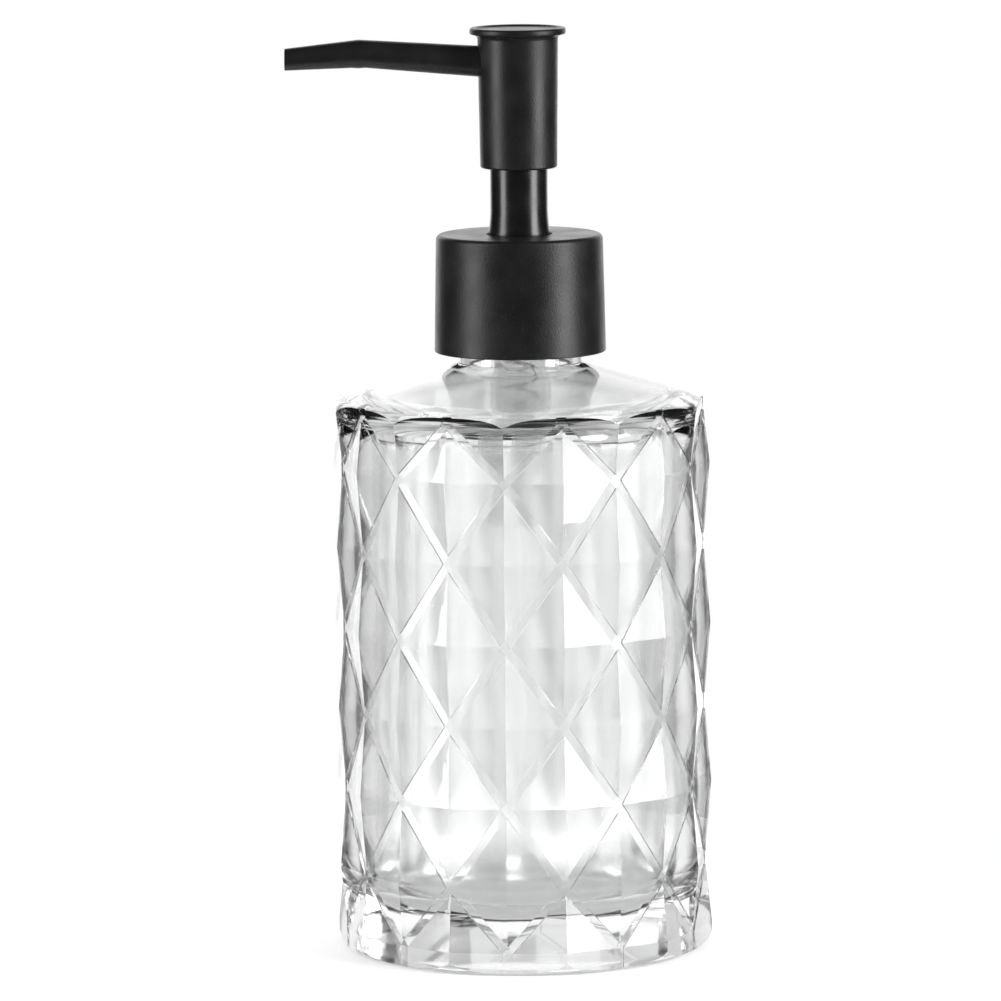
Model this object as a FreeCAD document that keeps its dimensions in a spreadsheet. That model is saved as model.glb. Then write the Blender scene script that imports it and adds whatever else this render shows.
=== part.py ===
import FreeCAD, Part
import math
import os
import Sketcher

# A soap pump dispenser: a faceted glass bottle, a screw collar and a push pump.
# Millimetres. Z is the axis of the bottle, Z = 0 is the surface it stands on,
# and the spout points towards -X.

os.makedirs("parts", exist_ok=True)
doc = FreeCAD.newDocument("SoapPumpDispenser")
sheet = doc.addObject("Spreadsheet::Sheet", "Sizes")

# ---------------------------------------------------------------- driving sizes

DRIVING_SIZES = [
    ("body_radius", 37.5, "glass: axis to the tip of a diamond"),
    ("groove_depth", 1.3, "glass: tip of a diamond to the crossing of two grooves"),
    ("groove_width", 1.8, "glass: flat strip between two diamonds"),
    ("diamond_count", 10, "glass: diamonds round the body"),
    ("diamond_half", 16.0, "glass: middle of a diamond to its top or bottom corner"),
    ("pattern_turn", 12.5, "glass: angle of the first crossing of the heel row"),
    ("heel_row", 4.4, "glass: height of the lowest crossings"),
    ("first_row", 17.0, "glass: height of the lowest evenly spaced crossings"),
    ("top_row_drop", 0.9, "glass: highest crossings below the edge of the shoulder"),
    ("shortest_row", 0.3, "glass: least height of the top row, as a share of diamond_half"),
    ("shoulder_edge", 109.4, "glass: height where body and shoulder would meet unrounded"),
    ("shoulder_rise", 7.1, "glass: rise of the shoulder from its edge to the neck"),
    ("edge_rounding", 3.0, "glass: rounding of heel and shoulder"),
    ("punt_radius", 27.0, "glass: radius of the hollow under the base"),
    ("punt_depth", 1.4, "glass: depth of the hollow under the base"),
    ("base_thickness", 9.5, "glass: thickness of the base"),
    ("body_wall", 4.5, "glass: tip of a diamond to the inside"),
    ("shoulder_wall", 3.1, "glass: thickness of the shoulder, measured upright"),
    ("inner_rounding", 6.0, "glass: rounding of the inside corners"),
    ("root_swell", 0.45, "neck: extra radius at the root"),
    ("root_rise", 0.3, "neck: height of the swollen root"),
    ("neck_radius", 12.45, "neck: outer radius between the threads"),
    ("neck_wall", 2.0, "neck: thickness"),
    ("neck_height", 14.5, "neck: from the shoulder to the rim"),
    ("thread_pitch", 4.233, "thread: rise of one turn, six turns to the inch"),
    ("thread_depth", 1.2, "thread: height of the ridge on the neck"),
    ("thread_base", 2.4, "thread: width of the ridge at its foot"),
    ("thread_flat", 1.0, "thread: width of the ridge at its crest"),
    ("thread_drop", 2.75, "thread: end of the ridge below the rim"),
    ("thread_turns", 1.5, "thread: turns on the neck"),
    ("thread_gap", 0.35, "thread: radial clearance between neck and closure"),
    ("thread_sink", 0.4, "thread: depth of the ridge's root in the wall that carries it"),
    ("gasket_thickness", 1.2, "gasket: thickness"),
    ("flange_thickness", 1.6, "housing: thickness of the flange"),
    ("flange_play", 0.7, "housing: flange to the bore of the closure"),
    ("rim_play", 0.6, "housing: upper rim to the bore of the neck"),
    ("rim_wall", 1.2, "housing: thickness of the upper rim"),
    ("rim_height", 4.2, "housing: rim above the flange"),
    ("funnel_drop", 4.0, "housing: foot of the funnel below the rim of the glass"),
    ("funnel_height", 2.0, "housing: height of the funnel between barrel and rim"),
    ("barrel_radius", 6.0, "housing: outer radius of the pump barrel"),
    ("barrel_wall", 1.0, "housing: thickness of the pump barrel"),
    ("foot_length", 13.5, "housing: floor of the barrel to the end of the foot"),
    ("foot_wall", 1.1, "housing: thickness of the foot"),
    ("foot_shoulder", 3.5, "housing: floor of the barrel to the shoulder of the foot"),
    ("foot_slope", 1.5, "housing: height of the foot's shoulder"),
    ("vent_radius", 0.6, "housing: air vent"),
    ("tube_radius", 3.2, "dip tube: outer radius"),
    ("tube_wall", 0.7, "dip tube: thickness"),
    ("tube_grip", 6.0, "dip tube: depth in the foot of the housing"),
    ("tube_floor_gap", 2.6, "dip tube: clearance above the inside floor"),
    ("inlet_ball_radius", 2.0, "inlet valve: ball"),
    ("outlet_ball_radius", 1.5, "outlet valve: ball"),
    ("ball_room", 0.6, "valves: clearance round each ball"),
    ("ball_lift", 1.5, "valves: travel of each ball"),
    ("inlet_stop_gap", 0.12, "inlet valve: lifted ball to its stop"),
    ("outlet_stop_gap", 0.26, "outlet valve: lifted ball to its stop"),
    ("retainer_height", 2.5, "ball retainer: thickness"),
    ("retainer_boss", 2.0, "ball retainer: height of the boss inside the spring"),
    ("retainer_slot", 0.9, "ball retainer: width of a slot"),
    ("boss_gap", 0.5, "ball retainer: boss to the inside of the spring"),
    ("spring_inset", 1.6, "return spring: middle of the wire to the bore of the barrel"),
    ("spring_wire", 0.35, "return spring: radius of the wire"),
    ("spring_turns", 7, "return spring: turns"),
    ("spring_pressed", 9.0, "return spring: length with the head down"),
    ("spring_end_gap", 0.05, "return spring: clearance at each end"),
    ("stroke", 12.0, "pump: travel of the head"),
    ("seat_height", 2.4, "piston seat: thickness of the disc"),
    ("seat_inset", 0.9, "piston seat: disc to the bore of the barrel"),
    ("seat_bore", 1.1, "piston seat: radius of the hole"),
    ("spigot_step", 0.5, "piston seat: spigot beyond the bore of the stem"),
    ("spigot_length", 4.0, "piston seat: depth of the spigot in the stem"),
    ("piston_height", 5.6, "piston: height"),
    ("piston_drop", 2.8, "piston: its top below the rim of the glass, with the head up"),
    ("piston_tip", 0.6, "piston: height of the chamfer of a lip"),
    ("piston_lip", 1.0, "piston: height of a lip"),
    ("piston_hollow", 1.7, "piston: height where a lip has run into the waist"),
    ("stem_radius", 3.4, "stem: outer radius"),
    ("stem_bore", 1.6, "stem: inner radius"),
    ("stem_socket", 3.0, "stem: depth in the core of the head"),
    ("throat_length", 1.0, "stem: length of the throat under the outlet seat"),
    ("wiper_lift", 1.3, "wiper: above the top of the piston"),
    ("wiper_width", 1.1, "wiper: width of its groove"),
    ("wiper_height", 2.2, "wiper: height of its groove"),
    ("wiper_lip", 0.35, "wiper: width of the lip"),
    ("closure_wall", 1.7, "closure: thickness of the skirt"),
    ("closure_roof", 1.8, "closure: thickness of the roof"),
    ("closure_rise", 0.5, "closure: foot of the skirt above the foot of the collar"),
    ("closure_hole_gap", 0.3, "closure: hole to the skirt of the guide neck"),
    ("closure_turns", 1.2, "closure: turns of its thread"),
    ("closure_ridge_base", 1.8, "closure: width of the thread at its foot"),
    ("closure_ridge_flat", 0.8, "closure: width of the thread at its crest"),
    ("closure_ridge_lift", 0.55, "closure: thread above the point midway between ridges"),
    ("collar_fit", 0.2, "collar shell: clearance round the closure"),
    ("collar_flare", 0.5, "collar shell: bottom radius less top radius"),
    ("collar_wall", 0.6, "collar shell: thickness"),
    ("collar_headroom", 2.08, "collar shell: clearance above the roof of the guide neck"),
    ("collar_gap", 2.4, "collar shell: clearance above the neck root"),
    ("collar_hole_gap", 0.35, "collar shell: hole to the guide neck"),
    ("collar_rounding", 1.0, "collar shell: rounding of the upper edge"),
    ("guide_wall", 2.2, "guide neck: thickness of the straight part"),
    ("guide_swell", 0.45, "guide neck: extra radius where it leaves the collar"),
    ("guide_flare", 4.5, "guide neck: height of the flare above the collar"),
    ("guide_waist", 0.12, "guide neck: extra radius halfway up the flare"),
    ("guide_overlap", 2.9, "guide neck: reach into the head, with the head up"),
    ("guide_skirt", 0.95, "guide neck: thickness of the skirt round the rim"),
    ("guide_roof", 1.5, "guide neck: thickness over the rim"),
    ("guide_cone", 0.6, "guide neck: extra radius at the foot of the cone under the collar"),
    ("guide_land", 0.9, "guide neck: straight part just under the top of the collar"),
    ("guide_rounding", 0.5, "guide neck: rounding of its end"),
    ("head_landing", 1.1, "head: underside above the collar, with the head down"),
    ("head_stop", 0.5, "head: core above the guide neck, with the head down"),
    ("head_play", 0.75, "head: inside of the sleeve to the foot of the guide neck"),
    ("head_taper", 0.35, "head: top radius of the sleeve less foot radius"),
    ("head_wall", 0.7, "head: thickness of the sleeve"),
    ("head_rounding", 0.45, "head: rounding of the sleeve's lower edge"),
    ("core_skirt", 8.0, "head core: skirt below the floor of the socket"),
    ("core_skirt_gap", 0.5, "head core: inside of the skirt to the guide neck"),
    ("channel_rise", 2.12, "head core: spout's line above the top of the stem"),
    ("cap_overhang", 1.55, "press cap: rim beyond the sleeve"),
    ("cap_height", 2.2, "press cap: height above the sleeve"),
    ("cap_plug", 0.9, "press cap: depth of the plug in the sleeve"),
    ("cap_cove", 0.6, "press cap: width of the chamfer under the rim"),
    ("cap_dish", 0.4, "press cap: depth of the dished top"),
    ("cap_dish_slope", 0.5, "press cap: width of the slope into the dish"),
    ("cap_rim", 1.0, "press cap: width of the raised rim"),
    ("cap_lip_rounding", 0.3, "press cap: rounding inside the rim"),
    ("spout_drop", 7.18, "spout: its line, carried to the axis, below the top of the cap"),
    ("spout_reach", 46.0, "spout: axis to the tip"),
    ("spout_bend", 31.4, "spout: axis to the bend"),
    ("spout_rise", 2.23, "spout: rise from the axis to the bend"),
    ("spout_fall", 1.05, "spout: fall from the bend to the tip"),
    ("spout_socket", 5.0, "spout: axis to the floor of its socket in the core"),
    ("spout_socket_gap", 0.15, "spout: root to the floor of the socket"),
    ("spout_root_radius", 3.1, "spout: outer radius at the head"),
    ("spout_bend_radius", 2.88, "spout: outer radius at the bend"),
    ("spout_tip_radius", 2.17, "spout: outer radius at the tip"),
    ("spout_wall", 0.5, "spout: thickness"),
    ("liner_socket", 3.0, "spout liner: axis to the floor of its socket in the core"),
    ("liner_wall", 0.8, "spout liner: thickness"),
    ("liner_end_gap", 1.0, "spout liner: end to the bend of the spout"),
    ("running_gap", 0.1, "clearance between pieces that slide or turn"),
    ("seat_gap", 0.02, "clearance between pieces that are pushed together"),
]

for row, (alias, number, meaning) in enumerate(DRIVING_SIZES, start=1):
    sheet.set("A%d" % row, meaning)
    sheet.set("B%d" % row, str(number))
    sheet.setAlias("B%d" % row, alias)
doc.recompute()


class Size:
    """A length that knows its number and the sheet expression that gives it."""

    def __init__(self, value, text):
        self.value = value
        self.text = text

    def __add__(self, other):
        other = as_size(other)
        return Size(self.value + other.value, "(%s + %s)" % (self.text, other.text))

    def __sub__(self, other):
        other = as_size(other)
        return Size(self.value - other.value, "(%s - %s)" % (self.text, other.text))

    def __mul__(self, factor):
        factor = as_size(factor)
        return Size(self.value * factor.value, "(%s * %s)" % (self.text, factor.text))

    def __truediv__(self, factor):
        factor = as_size(factor)
        return Size(self.value / factor.value, "(%s / %s)" % (self.text, factor.text))

    def __neg__(self):
        return Size(-self.value, "(0 - %s)" % self.text)


def as_size(number):
    """A plain number as a Size; a Size stays as it is."""
    if isinstance(number, Size):
        return number
    return Size(float(number), repr(float(number)))


def size(alias):
    """The driving size of that name."""
    return Size(float(sheet.get(alias)), "Sizes." + alias)


# ---------------------------------------------------------------- heights and radii

# A ball rests in a cone that opens 45 degrees, from a throat of 0.6 of its radius, and
# touches it at 0.707 of its radius, so its middle stands 0.8143 of its radius above the
# throat. It is stopped by the edge of a hole of 0.7 or 0.8 of its radius.
THROAT_SHARE = 0.6
SEATED_SHARE = 0.8143
INLET_STOP_SHARE = 0.7
OUTLET_STOP_SHARE = 0.8


def cap_rise(hole_share):
    """Height of a ball's middle below a hole that it closes, as a share of its radius."""
    return math.sqrt(1 - hole_share ** 2)


# Bottle
neck_root = size("neck_radius") + size("root_swell")
neck_base = size("shoulder_edge") + size("shoulder_rise")
neck_top = neck_base + size("neck_height")
neck_bore = size("neck_radius") - size("neck_wall")
thread_start = neck_top - size("thread_drop") - size("thread_pitch") * size("thread_turns")
thread_crest = size("neck_radius") + size("thread_depth")
body_bore = size("body_radius") - size("body_wall")
shoulder_run = size("body_radius") - neck_root

# Gasket, housing and closure stack up on the rim of the neck
flange_base = neck_top + size("gasket_thickness")
flange_top = flange_base + size("flange_thickness")
rim_top = flange_top + size("rim_height")
rim_radius = neck_bore - size("rim_play")
rim_bore = rim_radius - size("rim_wall")
closure_bore = thread_crest + size("thread_gap")
closure_radius = closure_bore + size("closure_wall")
closure_roof_base = flange_top + size("running_gap")
closure_top = closure_roof_base + size("closure_roof")
flange_radius = closure_bore - size("flange_play")

# Pump barrel, from the rim of the glass down
spring_length = size("stroke") + size("spring_pressed")
piston_top = neck_top - size("piston_drop")
piston_base = piston_top - size("piston_height")
seat_base = piston_base - size("seat_height")
retainer_top = seat_base - spring_length
barrel_floor = retainer_top - size("retainer_height")
foot_end = barrel_floor - size("foot_length")
barrel_bore = size("barrel_radius") - size("barrel_wall")
spring_radius = barrel_bore - size("spring_inset")

# Inlet valve, below the floor of the barrel
inlet_reach = size("ball_lift") + size("inlet_ball_radius") * cap_rise(INLET_STOP_SHARE)
inlet_ball_height = barrel_floor - inlet_reach - size("inlet_stop_gap")
inlet_throat = size("inlet_ball_radius") * THROAT_SHARE
inlet_chamber = size("inlet_ball_radius") + size("ball_room")
inlet_seat_base = inlet_ball_height - size("inlet_ball_radius") * SEATED_SHARE - size("seat_gap")
inlet_seat_top = inlet_seat_base + inlet_chamber - inlet_throat

# Guide neck and collar shell
stem_guide = size("stem_radius") + size("running_gap")
guide_radius = stem_guide + size("guide_wall")
guide_foot_radius = guide_radius + size("guide_swell")
guide_skirt_bore = rim_radius + size("seat_gap")
guide_skirt_radius = guide_skirt_bore + size("guide_skirt")
guide_roof_base = rim_top + size("seat_gap")
guide_roof_top = guide_roof_base + size("guide_roof")
wiper_base = piston_top + size("wiper_lift")
wiper_top = wiper_base + size("wiper_height")
wiper_bore = stem_guide + size("wiper_width")
collar_base = neck_base + size("collar_gap")
collar_top = guide_roof_top + size("collar_headroom") + size("collar_wall")
collar_top_radius = closure_radius + size("collar_fit") + size("collar_wall")

# Head, from the collar up
head_base = collar_top + size("stroke") + size("head_landing")
guide_top = head_base + size("guide_overlap")
core_floor = guide_top + size("stroke") + size("head_stop")
stem_top = core_floor + size("stem_socket")
spout_height = stem_top + size("channel_rise")
cap_top = spout_height + size("spout_drop")
sleeve_top = cap_top - size("cap_height")
core_top = sleeve_top - size("cap_plug")
head_foot_radius = guide_foot_radius + size("head_play") + size("head_wall")
head_top_radius = head_foot_radius + size("head_taper")
cap_radius = head_top_radius + size("cap_overhang")
spout_slope = size("spout_rise") / size("spout_bend")

# Outlet valve, at the top of the stem
outlet_stop = stem_top + size("running_gap")
outlet_reach = size("ball_lift") + size("outlet_ball_radius") * cap_rise(OUTLET_STOP_SHARE)
outlet_ball_height = outlet_stop - outlet_reach - size("outlet_stop_gap")
outlet_throat = size("outlet_ball_radius") * THROAT_SHARE
outlet_chamber = size("outlet_ball_radius") + size("ball_room")
outlet_seat_base = outlet_ball_height - size("outlet_ball_radius") * SEATED_SHARE - size("seat_gap")
outlet_seat_top = outlet_seat_base + outlet_chamber - outlet_throat

# Tools that cut a piece right through stand this much past it
OVERCUT = 5.0

# ---------------------------------------------------------------- drawing helpers


def point_of(corner):
    """A sketch point from a (radius, height) pair."""
    return FreeCAD.Vector(as_size(corner[0]).value, as_size(corner[1]).value, 0)


def hold(sketch, kind, axis, edge, length):
    """Ties the start of a sketch edge to an axis, by a bound distance or on it."""
    length = as_size(length)
    if length.value == 0:
        sketch.addConstraint(Sketcher.Constraint("PointOnObject", edge, 1, axis))
        return
    index = sketch.addConstraint(Sketcher.Constraint(kind, -1, 1, edge, 1, length.value))
    sketch.setExpression("Constraints[%d]" % index, length.text)


def draw_outline(sketch, outline):
    """A closed outline whose every corner is bound to the sheet."""
    count = len(outline)
    for index in range(count):
        start = point_of(outline[index])
        end = point_of(outline[(index + 1) % count])
        sketch.addGeometry(Part.LineSegment(start, end), False)
    for index in range(count):
        following = (index + 1) % count
        sketch.addConstraint(Sketcher.Constraint("Coincident", index, 2, following, 1))
    for index, (across, height) in enumerate(outline):
        hold(sketch, "DistanceX", -2, index, across)
        hold(sketch, "DistanceY", -1, index, height)


def plane_sketch(body, name, role):
    """A sketch on one of the body's own origin planes."""
    sketch = body.newObject("Sketcher::SketchObject", name)
    planes = [plane for plane in body.Origin.OriginFeatures if plane.Role == role]
    sketch.AttachmentSupport = (planes[0], "")
    sketch.MapMode = "FlatFace"
    return sketch


def turned(name, outline):
    """A body turned about Z from a closed outline of (radius, height) corners."""
    body = doc.addObject("PartDesign::Body", name)
    body.Label = name
    sketch = plane_sketch(body, name + "_outline", "XZ_Plane")
    draw_outline(sketch, outline)
    turn = body.newObject("PartDesign::Revolution", name + "_turn")
    turn.Profile = sketch
    turn.ReferenceAxis = (sketch, ["V_Axis"])
    turn.Angle = 360
    doc.recompute()
    return body


def round_rims(body, rounding, rims):
    """Fillets the circles about Z that pass through the given (radius, height) corners."""
    base = body.Tip
    names = []
    for rim in rims:
        wanted = point_of(rim)
        for number, edge in enumerate(base.Shape.Edges, start=1):
            if edge.Curve.TypeId != "Part::GeomCircle":
                continue
            off_radius = abs(edge.Curve.Radius - wanted.x)
            off_height = abs(edge.Curve.Center.z - wanted.y)
            if max(off_radius, off_height) < 0.001:
                names.append("Edge%d" % number)
                break
        else:
            raise RuntimeError("%s has no rim at %s" % (body.Label, wanted))
    fillet = body.newObject("PartDesign::Fillet", body.Name + "_rounding")
    fillet.Base = (base, names)
    fillet.setExpression("Radius", as_size(rounding).text)
    body.Tip = fillet
    doc.recompute()


def add_thread(body, outline, pitch, height, role):
    """A helical ridge with the given section, added to the body."""
    sketch = plane_sketch(body, body.Name + "_ridge_section", role)
    draw_outline(sketch, outline)
    ridge = body.newObject("PartDesign::AdditiveHelix", body.Name + "_ridge")
    ridge.Profile = sketch
    ridge.ReferenceAxis = (sketch, ["V_Axis"])
    ridge.Mode = "pitch-height-angle"
    ridge.setExpression("Pitch", pitch.text)
    ridge.setExpression("Height", height.text)
    body.Tip = ridge
    doc.recompute()


def cylinder(name, radius, length, base=(0, 0, 0), axis=(0, 0, 1)):
    """A cylinder from its base point along a direction."""
    rod = doc.addObject("Part::Cylinder", name)
    rod.setExpression("Radius", as_size(radius).text)
    rod.setExpression("Height", as_size(length).text)
    turn = FreeCAD.Rotation(FreeCAD.Vector(0, 0, 1), FreeCAD.Vector(*axis))
    rod.Placement = FreeCAD.Placement(FreeCAD.Vector(0, 0, 0), turn)
    for letter, place in zip("xyz", base):
        rod.setExpression("Placement.Base." + letter, as_size(place).text)
    return rod


def combined(kind, name, base, tool):
    """A boolean of two objects: kind is Cut, Fuse or Common."""
    result = doc.addObject("Part::" + kind, name)
    result.Label = name
    result.Base = base
    result.Tool = tool
    doc.recompute()
    return result


def ball(name, radius, height):
    """A sphere on the axis."""
    sphere = doc.addObject("Part::Sphere", name)
    sphere.Label = name
    sphere.setExpression("Radius", radius.text)
    sphere.setExpression("Placement.Base.z", height.text)
    return sphere


# ---------------------------------------------------------------- glass bottle


def row_heights():
    """Heights of the rows of groove crossings, from the heel to the shoulder."""
    first = size("first_row").value
    half = size("diamond_half").value
    last = size("shoulder_edge").value - size("top_row_drop").value
    steps = int((last - first) / half - size("shortest_row").value)
    even = [first + half * step for step in range(steps + 1)]
    return [size("heel_row").value] + even + [last]


def diamond_mesh():
    """
    The diamonds as a grid of corners. Columns stand half a diamond apart. A corner is a
    crossing of grooves or the tip of a diamond by turns, both along a row and up a column.
    """
    columns = 2 * int(size("diamond_count").value)
    step = 360.0 / columns
    tip_radius = size("body_radius").value
    crossing_radius = tip_radius - size("groove_depth").value
    heights = row_heights()

    def corner(row, column):
        angle = math.radians(size("pattern_turn").value + step * column)
        radius = crossing_radius if (row + column) % 2 == 0 else tip_radius
        return FreeCAD.Vector(radius * math.cos(angle), radius * math.sin(angle), heights[row])

    half_width = tip_radius * math.sin(math.radians(step))
    half_height = size("diamond_half").value
    tip_to_groove = half_width * half_height / math.hypot(half_width, half_height)
    share = size("groove_width").value / 2 / tip_to_groove

    def beside(row, column, row_step, column_step):
        """A crossing's corner of the flat strip, a little way along a ridge."""
        crossing = corner(row, column)
        tip = corner(row + row_step, column + column_step)
        return crossing + (tip - crossing) * share

    return columns, heights, corner, beside


def flat_face(*corners):
    """A flat face through the corners."""
    return Part.Face(Part.makePolygon(list(corners) + [corners[0]]))


def diamond_cell(corner, beside, row, column):
    """Two facets and the groove strip between them, for one cell of the grid."""
    up = row + 1
    right = column + 1
    if (row + column) % 2 == 0:
        low, low_step, high, high_step = column, 1, right, -1
    else:
        low, low_step, high, high_step = right, -1, column, 1
    low_side = beside(row, low, 0, low_step)
    low_up = beside(row, low, 1, 0)
    high_side = beside(up, high, 0, high_step)
    high_down = beside(up, high, -1, 0)
    return [
        flat_face(low_side, high_down, corner(row, high)),
        flat_face(low_up, high_side, corner(up, low)),
        flat_face(low_side, high_down, high_side, low_up),
    ]


def end_ring(row, columns, corner, beside):
    """The outline of the first or last row, with its groove strips."""
    ring = []
    for column in range(columns):
        if (row + column) % 2 == 0:
            ring.append(beside(row, column, 0, -1))
            ring.append(beside(row, column, 0, 1))
        else:
            ring.append(corner(row, column))
    return ring


def faceted_block():
    """A closed block with the diamonds round it, carried on straight past both ends."""
    columns, heights, corner, beside = diamond_mesh()
    last = len(heights) - 1
    faces = []
    for row in range(last):
        for column in range(columns):
            faces += diamond_cell(corner, beside, row, column)
    for row in range(last + 1):
        for column in range(row % 2, columns, 2):
            left = beside(row, column, 0, -1)
            right = beside(row, column, 0, 1)
            if row < last:
                faces.append(flat_face(left, right, beside(row, column, 1, 0)))
            if row > 0:
                faces.append(flat_face(left, right, beside(row, column, -1, 0)))
    end_run = size("shoulder_rise").value + OVERCUT
    for row, run_on in ((0, -end_run), (last, end_run)):
        ring = end_ring(row, columns, corner, beside)
        along = FreeCAD.Vector(0, 0, run_on)
        moved = [place + along for place in ring]
        for index in range(len(ring)):
            following = (index + 1) % len(ring)
            faces.append(flat_face(ring[index], ring[following], moved[following], moved[index]))
        faces.append(flat_face(*moved))
    shell = Part.makeShell(faces)
    shell.sewShape()
    solid = Part.makeSolid(shell)
    if solid.Volume < 0:
        solid.reverse()
    block = doc.addObject("Part::Feature", "diamond_block")
    block.Shape = solid
    return block


def neck_ridge():
    """The screw thread of the neck, a helical ridge sunk into it."""
    ridge = doc.addObject("PartDesign::Body", "neck_thread")
    root = size("neck_radius") - size("thread_sink")
    half_base = size("thread_base") / 2
    half_flat = size("thread_flat") / 2
    add_thread(ridge, [
        (root, thread_start - half_base),
        (thread_crest, thread_start - half_flat),
        (thread_crest, thread_start + half_flat),
        (root, thread_start + half_base),
    ], size("thread_pitch"), size("thread_pitch") * size("thread_turns"), "XZ_Plane")
    return ridge


def bottle_inside():
    """The space that holds the soap, open at the mouth."""
    slope = size("shoulder_rise") / shoulder_run
    inner_edge = size("shoulder_edge") - size("shoulder_wall")
    under_edge = inner_edge + slope * size("body_wall")
    under_neck = inner_edge + slope * (size("body_radius") - neck_bore)
    inside = turned("bottle_inside", [
        (0, size("base_thickness")),
        (body_bore, size("base_thickness")),
        (body_bore, under_edge),
        (neck_bore, under_neck),
        (neck_bore, neck_top + OVERCUT),
        (0, neck_top + OVERCUT),
    ])
    round_rims(inside, size("inner_rounding"), [
        (body_bore, size("base_thickness")),
        (body_bore, under_edge),
    ])
    round_rims(inside, size("edge_rounding"), [(neck_bore, under_neck)])
    return inside


def glass_bottle():
    """Pressed glass: diamonds round the body, sloping shoulder, screw neck, hollow."""
    outside = turned("bottle_outside", [
        (0, size("punt_depth")),
        (size("punt_radius"), 0),
        (size("body_radius"), 0),
        (size("body_radius"), size("shoulder_edge")),
        (neck_root, neck_base),
        (size("neck_radius"), neck_base + size("root_rise")),
        (size("neck_radius"), neck_top),
        (0, neck_top),
    ])
    round_rims(outside, size("edge_rounding"), [
        (size("body_radius"), 0),
        (size("body_radius"), size("shoulder_edge")),
    ])
    faceted = combined("Common", "bottle_faceted", outside, faceted_block())
    neck_post = turned("neck_post", [
        (0, size("shoulder_edge")),
        (size("neck_radius"), size("shoulder_edge")),
        (size("neck_radius"), neck_top),
        (0, neck_top),
    ])
    threaded = combined("Fuse", "neck_threaded", neck_post, neck_ridge())
    joined = combined("Fuse", "bottle_solid", faceted, threaded)
    return combined("Cut", "glass_bottle", joined, bottle_inside())


# ---------------------------------------------------------------- pump body


def pump_housing():
    """Barrel, foot for the dip tube, flange that is clamped on the gasket, and rim."""
    tube_stop = foot_end + size("tube_grip")
    tube_bore = size("tube_radius") + size("seat_gap")
    foot_radius = tube_bore + size("foot_wall")
    shoulder_top = barrel_floor - size("foot_shoulder")
    funnel_base = neck_top - size("funnel_drop")
    funnel_top = funnel_base + size("funnel_height")
    blank = turned("housing_blank", [
        (tube_bore, foot_end),
        (foot_radius, foot_end),
        (foot_radius, shoulder_top - size("foot_slope")),
        (size("barrel_radius"), shoulder_top),
        (size("barrel_radius"), funnel_base),
        (rim_radius, funnel_top),
        (rim_radius, flange_base),
        (flange_radius, flange_base),
        (flange_radius, flange_top),
        (rim_radius, flange_top),
        (rim_radius, rim_top),
        (rim_bore, rim_top),
        (rim_bore, funnel_top),
        (barrel_bore, funnel_base),
        (barrel_bore, barrel_floor),
        (inlet_chamber, barrel_floor),
        (inlet_chamber, inlet_seat_top),
        (inlet_throat, inlet_seat_base),
        (inlet_throat, tube_stop),
        (tube_bore, tube_stop),
    ])
    vent_height = piston_base + size("piston_height") / 2
    vent = cylinder("vent_drill", size("vent_radius"), rim_radius + OVERCUT,
                    base=(0, 0, vent_height), axis=(0, 1, 0))
    return combined("Cut", "pump_housing", blank, vent)


def guide_neck():
    """Snaps over the rim of the housing and guides the stem. Its neck is what shows."""
    plug_radius = rim_bore - size("seat_gap")
    skirt_end = flange_top + size("running_gap")
    neck = turned("guide_neck", [
        (stem_guide, guide_top),
        (stem_guide, wiper_top),
        (wiper_bore, wiper_top),
        (wiper_bore, wiper_base),
        (plug_radius, wiper_base),
        (plug_radius, guide_roof_base),
        (guide_skirt_bore, guide_roof_base),
        (guide_skirt_bore, skirt_end),
        (guide_skirt_radius, skirt_end),
        (guide_skirt_radius, guide_roof_top),
        (guide_foot_radius + size("guide_cone"), guide_roof_top),
        (guide_foot_radius, collar_top - size("guide_land")),
        (guide_foot_radius, collar_top),
        (guide_radius + size("guide_waist"), collar_top + size("guide_flare") / 2),
        (guide_radius, collar_top + size("guide_flare")),
        (guide_radius, guide_top),
    ])
    round_rims(neck, size("guide_rounding"), [(guide_radius, guide_top)])
    return neck


def stem_wiper():
    """A soft ring under the guide neck that wipes the stem."""
    inner = size("stem_radius") + size("seat_gap")
    behind_lip = inner + size("wiper_lip")
    outer = wiper_bore - size("seat_gap")
    top = wiper_top - size("seat_gap") * 2
    return turned("stem_wiper", [
        (inner, wiper_base + size("wiper_lip")),
        (behind_lip, wiper_base),
        (outer, wiper_base),
        (outer, top),
        (behind_lip, top),
        (inner, top - size("wiper_height") / 2),
    ])


def neck_gasket():
    """A flat ring on the rim of the glass, under the flange of the housing."""
    inner = rim_radius + size("running_gap")
    return turned("neck_gasket", [
        (inner, neck_top),
        (flange_radius, neck_top),
        (flange_radius, flange_base),
        (inner, flange_base),
    ])


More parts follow.
